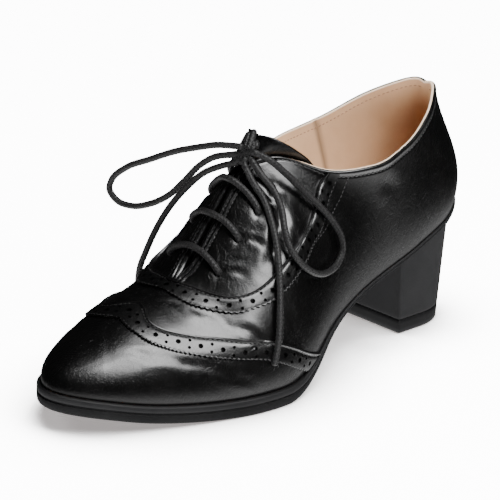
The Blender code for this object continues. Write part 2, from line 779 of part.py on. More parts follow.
def make_knot(finish):
    """A round core with one turn of lace over it, joined into one solid."""
    place = Vector(KNOT) * MM
    lean = Vector(KNOT_LEAN).to_track_quat("Z", "X").to_matrix()
    work = bmesh.new()
    bmesh.ops.create_uvsphere(work, u_segments=KNOT_SEGMENTS, v_segments=KNOT_RINGS,
                              radius=1.0)
    bmesh.ops.scale(work, verts=work.verts, vec=KNOT_RADII)
    bmesh.ops.rotate(work, verts=work.verts, matrix=lean)
    bmesh.ops.translate(work, verts=work.verts, vec=place)
    mesh = bpy.data.meshes.new("lace_knot")
    work.to_mesh(mesh)
    work.free()
    knot = add_object("lace_knot", mesh, finish)
    combine(knot, make_wrap(place, lean), "UNION")
    return knot


def clear_scene():
    for old in list(bpy.data.objects):
        bpy.data.objects.remove(old, do_unlink=True)
    for name in ("heeled_oxford", "cutters"):
        group = bpy.data.collections.new(name)
        bpy.context.scene.collection.children.link(group)


def centre_on_origin(parts):
    """Hang the parts on an empty that puts the middle of the shoe's box over the origin."""
    bpy.context.view_layer.update()
    corners = [part.matrix_world @ Vector(corner) for part in parts for corner in part.bound_box]
    stand = bpy.data.objects.new("shoe", None)
    bpy.data.collections["heeled_oxford"].objects.link(stand)
    for k in (0, 1):
        values = [corner[k] for corner in corners]
        stand.location[k] = -(min(values) + max(values)) / 2
    for made in list(bpy.data.objects):
        if made is not stand:
            made.parent = stand
    return stand


def build():
    clear_scene()
    black_leather = material("black_leather", (0.012, 0.012, 0.013), 0.28)
    band_leather = material("band_leather", (0.014, 0.014, 0.015), 0.30)
    tongue_leather = material("tongue_leather", (0.012, 0.012, 0.013), 0.26)
    tan_lining = material("tan_lining", (0.55, 0.36, 0.24), 0.62)
    black_rubber = material("black_rubber", (0.015, 0.015, 0.016), 0.55)
    heel_finish = material("heel_finish", (0.016, 0.016, 0.017), 0.42)
    lift_rubber = material("lift_rubber", (0.011, 0.011, 0.012), 0.6)
    waxed_cotton = material("waxed_cotton", (0.014, 0.014, 0.015), 0.45)

    solids = [
        make_upper(black_leather),
        make_band("wing_band", wing_corners, band_leather),
        make_band("facing_band", facing_corners, band_leather),
        make_tongue(tongue_leather),
        make_outsole(black_rubber),
        make_insole(tan_lining),
        *make_heel(heel_finish, lift_rubber),
    ]
    for number, eyelet in enumerate(EYELETS[:3], start=1):
        make_bar(f"lace_bar_{number}", eyelet, waxed_cotton)
    make_knot(waxed_cotton)
    routes = {
        "lace_loop_lateral": LATERAL_LOOP,
        "lace_loop_medial": MEDIAL_LOOP,
        "lace_end_lateral": LATERAL_END,
        "lace_end_medial": MEDIAL_END,
    }
    for name, route in routes.items():
        make_cord(name, np.array(route) * MM, waxed_cotton)
    centre_on_origin(solids)


build()
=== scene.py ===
"""Looks of the heeled oxford: leather, brogueing, stitches, lining, sole, heel and laces.

The last's surface is worked out here as in the part's source, but in fine steps. Lengths are in
metres and the toe points to -Y. Places on the leather are given as a share along the last and as
across, which runs from the ridge, throat or topline (0) down to the sole (1).
"""

import math

import bmesh
import bpy
import numpy as np
from mathutils import Matrix, Vector


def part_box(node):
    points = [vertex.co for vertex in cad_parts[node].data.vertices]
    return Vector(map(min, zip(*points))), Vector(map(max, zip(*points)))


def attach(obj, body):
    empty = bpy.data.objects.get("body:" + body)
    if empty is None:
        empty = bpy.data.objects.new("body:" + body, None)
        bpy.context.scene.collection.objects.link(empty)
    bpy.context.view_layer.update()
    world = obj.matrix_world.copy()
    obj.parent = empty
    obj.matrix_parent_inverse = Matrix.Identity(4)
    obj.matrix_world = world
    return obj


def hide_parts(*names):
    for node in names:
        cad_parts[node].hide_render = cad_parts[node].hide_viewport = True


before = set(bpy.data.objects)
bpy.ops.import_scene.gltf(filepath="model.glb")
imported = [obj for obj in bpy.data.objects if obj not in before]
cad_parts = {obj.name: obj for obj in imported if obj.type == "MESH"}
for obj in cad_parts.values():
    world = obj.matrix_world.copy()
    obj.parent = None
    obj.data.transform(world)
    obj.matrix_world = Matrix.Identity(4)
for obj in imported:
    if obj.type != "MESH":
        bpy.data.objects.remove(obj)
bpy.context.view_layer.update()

MM = 0.001
LATERAL = 1
MEDIAL = -1
SIDES = (LATERAL, MEDIAL)

# The shoe's own sizes, as in the part
LENGTH = 245.0 * MM
BALL_WIDTH = 84.0 * MM
TOE_SPRING = 10.3 * MM
SOLE_FRONT = 8.0 * MM
SOLE_WAIST = 2.2 * MM
HEEL_HEIGHT = 54.8 * MM
TOP_LIFT = 7.0 * MM
HEEL_LENGTH = 36.8 * MM
HEEL_WIDTH = 38.8 * MM
HEEL_SETBACK = 11.0 * MM
HEEL_ROUND = 1.15
BREAST_FLARE = 5.0 * MM
SIDE_FLARE = 4.0 * MM
BACK_FLARE = 3.6 * MM
INSTEP_DEPTH = 86.0 * MM
COLLAR_DEPTH = 58.0 * MM
COLLAR_HALF = 29.0 * MM
THROAT_HALF = 2.0 * MM
WELT = 2.0 * MM
SEAT_WELT = 0.7 * MM
WALL = 2.0 * MM
OVERLAY = 1.0 * MM
TONGUE_WALL = 2.0 * MM
TONGUE_SLACK = 1.1 * MM
INSOLE = 2.4 * MM
LACE = 3.0 * MM
GAP = 0.3 * MM

# Where the last's own frame stands in the part's frame
lift_low, lift_high = (Vector(corner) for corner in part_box("top_lift"))
PLACE = np.array([(lift_low.x + lift_high.x) / 2,
                  lift_high.y - (LENGTH / 2 - HEEL_SETBACK), 0.0])


# Camera

CAMERA_YAW = math.radians(45.473)
CAMERA_PITCH = math.radians(20.959)
CAMERA_ROLL = math.radians(1.821)
CAMERA_DISTANCE = 1.76109
CAMERA_AIM = np.array([0.0, 0.0, 0.050])
FRAME_PIXELS = 500
FOCAL_PIXELS = 3951.52
CENTRE_SHIFT = (5.60, 8.14)          # pixels right and down, from the frame's centre to the aim
SENSOR = 36.0                        # width of the film in millimetres


def make_camera():
    """The photograph's view of the shoe, with the same lens, tilt and framing."""
    out = Vector((math.cos(CAMERA_PITCH) * math.sin(CAMERA_YAW),
                  -math.cos(CAMERA_PITCH) * math.cos(CAMERA_YAW),
                  math.sin(CAMERA_PITCH)))
    level = Vector((math.cos(CAMERA_YAW), math.sin(CAMERA_YAW), 0.0))
    steep = out.cross(level)
    right = level * math.cos(CAMERA_ROLL) + steep * math.sin(CAMERA_ROLL)
    up = steep * math.cos(CAMERA_ROLL) - level * math.sin(CAMERA_ROLL)
    data = bpy.data.cameras.new("camera")
    data.sensor_width = SENSOR
    data.lens = FOCAL_PIXELS / FRAME_PIXELS * SENSOR
    data.shift_x = -CENTRE_SHIFT[0] / FRAME_PIXELS
    data.shift_y = CENTRE_SHIFT[1] / FRAME_PIXELS
    data.clip_start = 0.1
    data.clip_end = 50.0
    camera = bpy.data.objects.new("camera", data)
    place = Vector(CAMERA_AIM + PLACE) + out * CAMERA_DISTANCE
    turned = Matrix((right, up, out)).transposed().to_4x4()
    camera.matrix_world = Matrix.Translation(place) @ turned
    bpy.context.scene.collection.objects.link(camera)
    bpy.context.scene.camera = camera


# Materials: node maths written as Python expressions


class Number:
    """A number socket. Arithmetic on it adds Math nodes to its material."""

    def __init__(self, finish, socket):
        self.finish = finish
        self.socket = socket

    def math(self, operation, *others):
        values = {0: self}
        for place, other in enumerate(others, start=1):
            values[place] = other
        made = self.finish.node("Math", {"operation": operation}, values)
        return Number(self.finish, made.outputs[0])

    def swapped(self, operation, other):
        made = self.finish.node("Math", {"operation": operation}, {0: other, 1: self})
        return Number(self.finish, made.outputs[0])

    def __add__(self, other):
        return self.math("ADD", other)

    def __radd__(self, other):
        return self.math("ADD", other)

    def __sub__(self, other):
        return self.math("SUBTRACT", other)

    def __rsub__(self, other):
        return self.swapped("SUBTRACT", other)

    def __mul__(self, other):
        return self.math("MULTIPLY", other)

    def sine(self):
        return self.math("SINE")

    def absolute(self):
        return self.math("ABSOLUTE")

    def larger(self, other):
        return self.math("MAXIMUM", other)

    def between(self, low, high):
        """From 0 at low to 1 at high, with soft ends."""
        settings = {"interpolation_type": "SMOOTHSTEP"}
        values = {"Value": self, "From Min": low, "From Max": high, "To Min": 0.0, "To Max": 1.0}
        made = self.finish.node("MapRange", settings, values)
        return Number(self.finish, made.outputs["Result"])


class Nodes:
    """A node tree, its coordinates and short ways to add to it."""

    def __init__(self, tree, coords):
        self.tree = tree
        self.coords = self.node("TexCoord").outputs[coords]

    def node(self, kind, settings=None, values=None):
        """Any node: its type, its settings, then the values or links of its sockets."""
        made = self.tree.nodes.new("ShaderNode" + kind)
        for name, value in (settings or {}).items():
            setattr(made, name, value)
        for name, value in (values or {}).items():
            self.feed(made.inputs[name], value)
        return made

    def feed(self, socket, value):
        if isinstance(value, Number):
            value = value.socket
        if isinstance(value, bpy.types.NodeSocket):
            self.tree.links.new(value, socket)
        else:
            socket.default_value = value

    def blend(self, first, second, share):
        """A colour between two."""
        made = self.node("Mix", {"data_type": "RGBA"}, {0: share, 6: first, 7: second})
        return made.outputs[2]


class Finish(Nodes):
    """A material built around one Principled shader."""

    def __init__(self, name, **constants):
        self.material = bpy.data.materials.new(name)
        self.material.use_nodes = True
        super().__init__(self.material.node_tree, "Object")
        self.shader = self.tree.nodes["Principled BSDF"]
        for socket, value in constants.items():
            self.shader.inputs[socket.replace("_", " ")].default_value = value

    def noise(self, scale, detail=2.0, rough=0.5, stretch=None, distortion=0.0):
        where = self.coords
        if stretch:
            where = self.node("Mapping", None, {"Vector": where, "Scale": stretch}).outputs[0]
        made = self.node("TexNoise", None, {"Vector": where, "Scale": scale, "Detail": detail,
                                            "Roughness": rough, "Distortion": distortion})
        return Number(self, made.outputs["Fac"])

    def pebbles(self, scale, warp):
        """Cells of grain, with edges that wander."""
        wander = self.node("TexNoise", None, {"Vector": self.coords, "Scale": scale * 0.6,
                                              "Detail": 1.0})
        where = self.mix_vector(self.coords, wander.outputs["Color"], warp)
        made = self.node("TexVoronoi", {"feature": "DISTANCE_TO_EDGE"},
                         {"Vector": where, "Scale": scale})
        return Number(self, made.outputs["Distance"])

    def mix_vector(self, first, second, share):
        """A vector moved by a share of another."""
        small = self.node("VectorMath", {"operation": "SCALE"}, {0: second, "Scale": share})
        added = self.node("VectorMath", {"operation": "ADD"}, {0: first, 1: small.outputs[0]})
        return added.outputs[0]

    def trait(self, name):
        """A number kept at the mesh's points."""
        return Number(self, self.node("Attribute", {"attribute_name": name}).outputs["Fac"])

    def trait_parts(self, name):
        """The first two numbers of a vector kept at the mesh's points."""
        made = self.node("Attribute", {"attribute_name": name})
        parts = self.node("SeparateXYZ", None, {0: made.outputs["Vector"]})
        return Number(self, parts.outputs["X"]), Number(self, parts.outputs["Y"])

    def bump(self, height, depth, under=None):
        """Small relief: depth in metres for a height of 1."""
        values = {"Height": height, "Distance": depth, "Strength": 1.0}
        if under is not None:
            values["Normal"] = under
        return self.node("Bump", None, values).outputs[0]

    def colour(self, value):
        self.feed(self.shader.inputs["Base Color"], value)

    def rough(self, value):
        self.feed(self.shader.inputs["Roughness"], value)

    def relief(self, value):
        self.feed(self.shader.inputs["Normal"], value)


def rgb(red, green, blue):
    return (red, green, blue, 1.0)


# Black of the leather's own dye; the lining also takes it for its painted shade
INK_AND_SHADE = rgb(0.0005, 0.0005, 0.0005)
INK_WORN = rgb(0.0014, 0.0013, 0.0013)


def polished_leather(name, gloss=0.26, grain=1.0):
    """Black coated leather: fine pebbles, faint wrinkles and a clear gloss over them."""
    made = Finish(name, Coat_Roughness=0.25, Specular_IOR_Level=0.18)
    shaded = made.trait("shaded")
    made.feed(made.shader.inputs["Coat Weight"], (1.0 - shaded) * 0.8)
    cloud = made.noise(45.0, 3.0, 0.55)
    fine = made.noise(1500.0, 2.0, 0.6)
    pebble = made.pebbles(820.0, 0.00035)
    wrinkle = made.noise(210.0, 4.0, 0.62, (1.0, 1.0, 0.55), 0.6)
    flexed = made.trait("flexed")
    made.colour(made.blend(INK_AND_SHADE, INK_WORN, cloud.between(0.35, 0.8) * 0.5 + flexed * 0.25))
    made.rough(gloss + cloud * 0.08 + fine * 0.07 + flexed * 0.06 + shaded * 0.6)
    folds = (wrinkle - 0.5).absolute().between(0.0, 0.10)
    soft = made.bump(folds, 0.07 * MM * grain)
    strong = made.bump(folds * flexed, 0.16 * MM, soft)
    grained = made.bump(pebble.between(0.0, 0.22), 0.038 * MM * grain, strong)
    made.relief(made.bump(fine, 0.010 * MM * grain, grained))
    return made.material


def tan_leather(name, colour, shade):
    """Matt lining leather: mottled, with fine pores, and painted near black where it is marked as
    lying in shade.
    """
    made = Finish(name, Specular_IOR_Level=0.35, Coat_Weight=0.08, Coat_Roughness=0.4)
    cloud = made.noise(60.0, 4.0, 0.6)
    speck = made.noise(1300.0, 2.0, 0.5)
    mottled = made.blend(colour, shade, cloud.between(0.3, 0.75) * 0.8 + speck * 0.15)
    # Painted shade: the lining turns near black where it is marked as lying in shade
    made.colour(made.blend(mottled, INK_AND_SHADE, made.trait("dark")))
    made.rough(0.5 + speck * 0.12)
    pores = made.pebbles(1500.0, 0.0002)
    soft = made.bump(made.noise(170.0, 3.0, 0.6), 0.10 * MM)
    made.relief(made.bump(pores.between(0.0, 0.2), 0.02 * MM, soft))
    return made.material


def thread(name, colour, roughness):
    """Twisted thread, with painted shade between its strands."""
    made = Finish(name, Specular_IOR_Level=0.5)
    twist = made.noise(2600.0, 1.0, 0.5)
    # Painted shade: a darker copy of the thread's colour where the twist noise is high
    made.colour(made.blend(colour, tuple(c * 0.5 for c in colour[:3]) + (1.0,), twist))
    made.rough(roughness + twist * 0.1)
    made.relief(made.bump(twist, 0.05 * MM))
    return made.material


def waxed_lace(name):
    """Round braid under wax: slanting plaits both ways, worked out from the lay of the lace."""
    made = Finish(name, Coat_Weight=0.05, Coat_Roughness=0.35, Specular_IOR_Level=0.26)
    length, around = made.trait_parts("lay")
    one_way = (length * 3.6 + around * 4.0).sine()
    other_way = (length * 3.6 - around * 4.0).sine()
    plait = one_way.larger(other_way)
    cloud = made.noise(260.0, 3.0, 0.6)
    fuzz = made.noise(3000.0, 1.0, 0.5)
    made.colour(made.blend(rgb(0.0018, 0.0018, 0.0019), rgb(0.007, 0.0068, 0.0068),
                           cloud * 0.5 + plait.between(0.2, 1.0) * 0.4))
    made.rough(0.42 + fuzz * 0.15 + cloud * 0.08)
    made.relief(made.bump(fuzz, 0.02 * MM, made.bump(plait, 0.09 * MM)))
    return made.material


def moulded(name, colour, worn, roughness):
    """Rubber or a covered heel: even, slightly pitted, with a soft sheen."""
    made = Finish(name, Specular_IOR_Level=0.18)
    cloud = made.noise(38.0, 4.0, 0.6)
    pits = made.noise(1700.0, 2.0, 0.6)
    made.colour(made.blend(colour, worn, cloud.between(0.3, 0.8)))
    made.rough(roughness + pits * 0.10 + cloud * 0.06)
    made.relief(made.bump(pits, 0.020 * MM))
    return made.material


def tread_rubber(name):
    """The underside: fine ribs across the forefoot and the top lift."""
    made = Finish(name, Specular_IOR_Level=0.4)
    x_y_z = made.node("SeparateXYZ", None, {0: made.coords})
    across = Number(made, x_y_z.outputs["X"])
    lengthwise = Number(made, x_y_z.outputs["Y"])
    wave = (lengthwise * 1570.0 + (across * 420.0).sine() * 1.1).sine()
    pits = made.noise(1500.0, 2.0, 0.6)
    made.colour(made.blend(rgb(0.012, 0.012, 0.013), rgb(0.03, 0.03, 0.031), pits * 0.4))
    made.rough(0.55 + pits * 0.15)
    made.relief(made.bump(pits, 0.03 * MM, made.bump(wave.between(-0.4, 0.4), 0.35 * MM)))
    return made.material


FLOOR_GLOW = 11.0            # the studio's white table is lit from below as well
SHADOW_REACH = 45.0 * MM     # how far the painted shadow reaches over it
SHADOW_RANGE = (0.50, 0.99)  # how open the floor is where it is darkest, and where it is white
# Colour of the painted shadow on the glowing floor, then of the open floor
FLOOR_SHADOW = rgb(0.030, 0.027, 0.026)
FLOOR_OPEN = rgb(1.0, 1.0, 1.0)


def pale_floor(name):
    """A white table that glows, but for a painted soft shadow close to the shoe."""
    made = Finish(name, Specular_IOR_Level=0.2)
    cloud = made.noise(1.5, 2.0, 0.5)
    made.colour(made.blend(rgb(0.93, 0.93, 0.93), rgb(0.90, 0.90, 0.90), cloud))
    made.rough(0.7 + cloud * 0.05)
    # Painted shadow: the glow darkens where the shoe hides the floor from the sky
    hidden = made.node("AmbientOcclusion", {"samples": 8}, {"Distance": SHADOW_REACH})
    open_sky = Number(made, hidden.outputs["AO"]).between(*SHADOW_RANGE)
    made.feed(made.shader.inputs["Emission Color"],
              made.blend(FLOOR_SHADOW, FLOOR_OPEN, open_sky))
    made.shader.inputs["Emission Strength"].default_value = FLOOR_GLOW
    return made.material


# The last, as in the part's source, but for a rounder back of the collar


def turn(share):
    return np.arccos(np.clip(1.0 - 2.0 * np.asarray(share, float), -1.0, 1.0)) / math.pi


def unturn(place):
    return (1.0 - np.cos(math.pi * np.clip(place, 0.0, 1.0))) / 2.0


def plain(share):
    return np.asarray(share, float)


def smooth(places, values, at):
    """A smooth curve through the values, with the slope of a parabola at each place."""
    step = np.diff(places)
    rise = np.diff(values) / step
    slope = np.empty_like(values)
    slope[1:-1] = (rise[:-1] * step[1:] + rise[1:] * step[:-1]) / (step[:-1] + step[1:])
    slope[0] = 1.5 * rise[0] - 0.5 * slope[1]
    slope[-1] = 1.5 * rise[-1] - 0.5 * slope[-2]
    i = np.clip(np.searchsorted(places, at, side="right") - 1, 0, len(places) - 2)
    t = (at - places[i]) / step[i]
    near = (1 + 2 * t) * (1 - t) ** 2 * values[i] + t * (1 - t) ** 2 * step[i] * slope[i]
    far = t * t * (3 - 2 * t) * values[i + 1] + t * t * (t - 1) * step[i] * slope[i + 1]
    return near + far


class Table:
    """Rows of shares under named columns, read as smooth curves along the first one."""

    def __init__(self, along_as, columns, rows):
        self.along_as = along_as
        self.columns = columns.split()
        self.rows = np.array(rows, float)
        self.places = along_as(self.rows[:, 0])

    def column(self, name):
        return self.rows[:, self.columns.index(name)]

    def read(self, name, share):
        return smooth(self.places, self.column(name), self.along_as(share))


PLAN = Table(turn, "share lateral medial", [
    (0.00, 0.00, 0.00),
    (0.02, 0.27, 0.30),
    (0.06, 0.475, 0.53),
    (0.12, 0.665, 0.725),
    (0.20, 0.85, 0.905),
    (0.28, 1.00, 1.02),
    (0.35, 1.095, 1.02),
    (0.42, 1.105, 0.93),
    (0.50, 0.98, 0.75),
    (0.58, 0.79, 0.57),
    (0.66, 0.69, 0.48),
    (0.74, 0.665, 0.48),
    (0.82, 0.665, 0.54),
    (0.90, 0.60, 0.54),
    (0.96, 0.41, 0.38),
    (1.00, 0.00, 0.00),
])
FEATHER = Table(plain, "share spring rise", [
    (0.00, 1.00, 0.00),
    (0.06, 0.74, 0.00),
    (0.13, 0.40, 0.00),
    (0.20, 0.17, 0.00),
    (0.26, 0.05, 0.00),
    (0.31, 0.00, 0.00),
    (0.42, 0.00, 0.00),
    (0.46, 0.00, 0.025),
    (0.54, 0.00, 0.185),
    (0.62, 0.00, 0.385),
    (0.70, 0.00, 0.545),
    (0.78, 0.00, 0.68),
    (0.86, 0.00, 0.825),
    (0.94, 0.00, 0.935),
    (1.00, 0.00, 1.00),
])
SUBSTANCE = Table(plain, "share front", [
    (0.00, 1.00),
    (0.42, 1.00),
    (0.50, 0.60),
    (0.58, 0.14),
    (0.64, 0.00),
    (1.00, 0.00),
])
# In the last two rows top and back differ a little from the part's, which rounds the collar's back
RIBS = Table(turn, "share top instep back slit collar low high flare roll", [
    (0.00, 0.105, 0.2595, 0.000, 1.0, 0.000, 0.50, 0.60, 9, 0),
    (0.06, 0.130, 0.3010, 0.000, 1.0, 0.000, 0.57, 0.60, 9, 0),
    (0.13, 0.172, 0.3660, 0.000, 1.0, 0.000, 0.60, 0.58, 10, 0),
    (0.20, 0.220, 0.4200, 0.000, 1.0, 0.000, 0.59, 0.56, 11, 0),
    (0.27, 0.270, 0.470, 0.000, 1.0, 0.000, 0.58, 0.54, 12, 0),
    (0.33, 0.312, 0.535, 0.000, 1.0, 0.000, 0.565, 0.525, 12, 2),
    (0.39, 0.349, 0.650, 0.000, 1.0, 0.000, 0.545, 0.49, 11, 4),
    (0.45, 0.387, 0.785, 0.000, 1.0, 0.000, 0.525, 0.505, 10, 7),
    (0.51, 0.426, 0.935, 0.000, 1.0, 0.000, 0.495, 0.49, 9, 12),
    (0.56, 0.460, 1.020, 0.000, 1.0, 0.017, 0.47, 0.455, 9, 18),
    (0.60, 0.511, 1.000, 0.000, 0.5, 0.275, 0.45, 0.41, 8, 30),
    (0.65, 0.589, 0.800, 0.000, 0.0, 0.740, 0.42, 0.38, 8, 52),
    (0.71, 0.674, 0.000, 1.010, 0.0, 1.000, 0.40, 0.38, 9, 68),
    (0.79, 0.766, 0.000, 0.945, 0.0, 0.945, 0.38, 0.36, 10, 78),
    (0.88, 0.851, 0.000, 0.960, 0.0, 0.725, 0.37, 0.35, 12, 80),
    (0.95, 0.910, 0.000, 0.995, 0.0, 0.385, 0.39, 0.36, 14, 82),
    (1.00, 0.935, 0.000, 0.985, 0.0, 0.000, 0.39, 0.35, 14, 76),
])
WING = Table(plain, "across front back", [
    (0.00, 0.120, 0.203),
    (0.08, 0.121, 0.196),
    (0.18, 0.126, 0.182),
    (0.28, 0.136, 0.183),
    (0.38, 0.147, 0.203),
    (0.48, 0.168, 0.244),
    (0.58, 0.203, 0.303),
    (0.68, 0.262, 0.357),
    (0.78, 0.343, 0.408),
    (0.88, 0.402, 0.458),
    (1.00, 0.474, 0.523),
])
FACING = Table(plain, "run inner inner_across outer outer_across", [
    (0.00, 0.303, 0.000, 0.270, 0.000),
    (0.10, 0.312, 0.115, 0.268, 0.145),
    (0.20, 0.325, 0.250, 0.283, 0.288),
    (0.30, 0.345, 0.360, 0.326, 0.441),
    (0.40, 0.372, 0.430, 0.366, 0.519),
    (0.50, 0.403, 0.462, 0.410, 0.563),
    (0.60, 0.447, 0.476, 0.462, 0.578),
    (0.72, 0.500, 0.480, 0.525, 0.553),
    (0.86, 0.577, 0.400, 0.592, 0.460),
    (1.00, 0.649, 0.000, 0.664, 0.000),
])
EYELETS = [
    # share, across, and the share where the lace crosses the throat
    (0.364, 0.213, 0.388),
    (0.429, 0.203, 0.456),
    (0.483, 0.220, 0.520),
    (0.540, 0.215, 0.575),
]
WELT_FULL = 0.42
WELT_THIN = 0.66
THROAT_START = 0.31
THROAT_OPEN = 0.36
RIDGE_FROM = 0.03
RIDGE_HOLD = 0.42
RIDGE_END = 0.60
BAND_FOOT = 0.988
TONGUE_TOP = (121.0 * MM, 110.0 * MM)
TONGUE_UNDER = 4 / 14
TONGUE_FROM = 0.26
TONGUE_LEAVES = 0.56
TONGUE_TO = 0.635
TONGUE_ARCH = (0.2, 0.8)
NUDGE = 0.004


def ease(part):
    part = np.clip(part, 0.0, 1.0)
    return part * part * (3 - 2 * part)


def hump(distance, width):
    """A soft bump: 1 at no distance, and nothing past a few widths."""
    return np.exp(-(distance / width) ** 2)


def unit(vectors):
    """The vectors made 1 long."""
    return vectors / np.linalg.norm(vectors, axis=-1, keepdims=True)


def along(points):
    """How far each point of a line lies from its first one, along it."""
    return np.concatenate([[0.0], np.cumsum(np.linalg.norm(np.diff(points, axis=0), axis=1))])


def bezier(first, second, third, last, t):
    return ((1 - t) ** 3 * first + 3 * (1 - t) ** 2 * t * second
            + 3 * (1 - t) * t * t * third + t ** 3 * last)


def half_round(first, second, bulge, steps):
    """A rounded edge from one line of points to another, through the bulge over their middle."""
    angles = np.linspace(0.0, math.pi, steps + 1)[None, :, None]
    return ((first + second)[:, None] / 2 + (first - second)[:, None] / 2 * np.cos(angles)
            + bulge[:, None] * np.sin(angles))


def feather(share):
    """Height of the upper's lower edge over the floor."""
    rise = HEEL_HEIGHT + SOLE_WAIST - SOLE_FRONT
    spring_share = np.maximum(0.0, FEATHER.read("spring", share))
    rise_share = np.maximum(0.0, FEATHER.read("rise", share))
    return SOLE_FRONT + TOE_SPRING * spring_share + rise * rise_share


def thickness(share):
    """Thickness of the sole."""
    front = np.clip(SUBSTANCE.read("front", share), 0.0, 1.0)
    return SOLE_WAIST + (SOLE_FRONT - SOLE_WAIST) * front


def half_width(side, share):
    name = "lateral" if side == LATERAL else "medial"
    return PLAN.read(name, share) * BALL_WIDTH / 2


def welt_trim(share):
    """How far the sole is cut in towards the seat, where its welt is narrower."""
    return (WELT - SEAT_WELT) * ease((share - WELT_FULL) / (WELT_THIN - WELT_FULL))


def edge(side, share, cut_in, height):
    """Points by the sole's outline, cut in from it, at a height."""
    share = np.asarray(share, float)
    place = turn(share)
    low = unturn(place - NUDGE)
    high = unturn(place + NUDGE)
    run = unit(np.stack([half_width(side, high) - half_width(side, low),
                         (high - low) * LENGTH], -1))
    normal = np.stack([run[..., 1], -run[..., 0]], -1)
    ends = (share <= 0.0) | (share >= 1.0)
    normal[ends, 0] = 0.0
    normal[ends, 1] = np.where(share[ends] <= 0.0, -1.0, 1.0)
    wide = np.maximum(0.0, half_width(side, share) - cut_in * normal[..., 0])
    y = (share - 0.5) * LENGTH - cut_in * normal[..., 1]
    return np.stack([side * wide, y, height + 0.0 * share], -1), normal


RIB_PLACES = np.linspace(0.0, 1.0, 1201)


def rib_controls(side):
    """The four Bezier points of each of many ribs, from the sole up."""
    share = unturn(RIB_PLACES)
    foot, normal = edge(side, share, WELT, feather(share) + GAP)
    foot[:, 0] = np.abs(foot[:, 0])
    tops = RIBS.column("top")
    heights = (feather(tops) + RIBS.column("instep") * INSTEP_DEPTH
               + RIBS.column("back") * COLLAR_DEPTH)
    opening = ease((share - THROAT_START) / (THROAT_OPEN - THROAT_START))
    wide = opening * (THROAT_HALF * RIBS.read("slit", share)
                      + COLLAR_HALF * RIBS.read("collar", share))
    wide[share >= 1.0] = 0.0
    top = np.stack([np.maximum(0.0, wide), (RIBS.read("top", share) - 0.5) * LENGTH,
                    smooth(RIBS.places, heights, turn(share))], -1)
    slope = np.gradient(top[:, 2]) / np.gradient(top[:, 1])
    slope = np.interp(np.maximum(share, RIDGE_FROM), share, slope)
    slope = slope * ease((RIDGE_END - share) / (RIDGE_END - RIDGE_HOLD))
    outwards = foot[:, :2] - top[:, :2]
    reach = np.linalg.norm(outwards, axis=1)
    outwards = outwards / reach[:, None]
    roll = np.radians(RIBS.read("roll", share))
    flare = np.radians(RIBS.read("flare", share))
    climb = top[:, 2] - foot[:, 2]
    lean = np.stack([normal[:, 0] * np.sin(flare), normal[:, 1] * np.sin(flare), np.cos(flare)], -1)
    fall = np.stack([outwards[:, 0] * np.cos(roll), outwards[:, 1] * np.cos(roll),
                     outwards[:, 1] * slope * np.cos(roll) - np.sin(roll)], -1)
    low = foot + lean * (RIBS.read("low", share) * climb)[:, None]
    span = reach * np.cos(roll) + climb * np.sin(roll)
    high = top + fall * (RIBS.read("high", share) * span)[:, None]
    controls = np.stack([foot, low, high, top], 1)
    controls[:, :, 0] *= side
    return controls


CONTROLS = {side: rib_controls(side) for side in SIDES}


def on_last(side, share, across):
    """Points of the last's surface, in its own frame."""
    share, across = np.broadcast_arrays(np.asarray(share, float), np.asarray(across, float))
    place = turn(share) * (len(RIB_PLACES) - 1)
    i = np.clip(place.astype(int), 0, len(RIB_PLACES) - 2)
    part = (place - i)[..., None, None]
    controls = CONTROLS[side][i] * (1 - part) + CONTROLS[side][i + 1] * part
    t = (1.0 - across)[..., None]
    foot, low, high, top = (controls[..., k, :] for k in range(4))
    return bezier(foot, low, high, top, t)


def last_normal(side, share, across):
    """The last's outward direction. On the centre plane it stays in that plane."""
    share, across = np.broadcast_arrays(np.asarray(share, float), np.asarray(across, float))
    place = np.clip(turn(share), NUDGE, 1.0 - NUDGE)
    near = unturn(place)
    ahead = on_last(side, unturn(place + NUDGE), across)
    behind = on_last(side, unturn(place - NUDGE), across)
    above = on_last(side, near, np.maximum(0.0, across - NUDGE))
    below = on_last(side, near, np.minimum(1.0, across + NUDGE))
    normal = np.cross(ahead - behind, above - below) * side
    flat = ((across <= 0.0) & (share < THROAT_START)) | (share <= 0.0) | (share >= 1.0)
    normal[..., 0] = np.where(flat, 0.0, normal[..., 0])
    return unit(normal)


def skin(side, share, across, lift=0.0):
    """Points at a lift over the last, in the part's frame."""
    lift = np.asarray(lift, float)
    point = on_last(side, share, across) + PLACE
    return point + last_normal(side, share, across) * lift[..., None]


# Creases, as troughs with a low ridge beside them, from one place on the leather to another

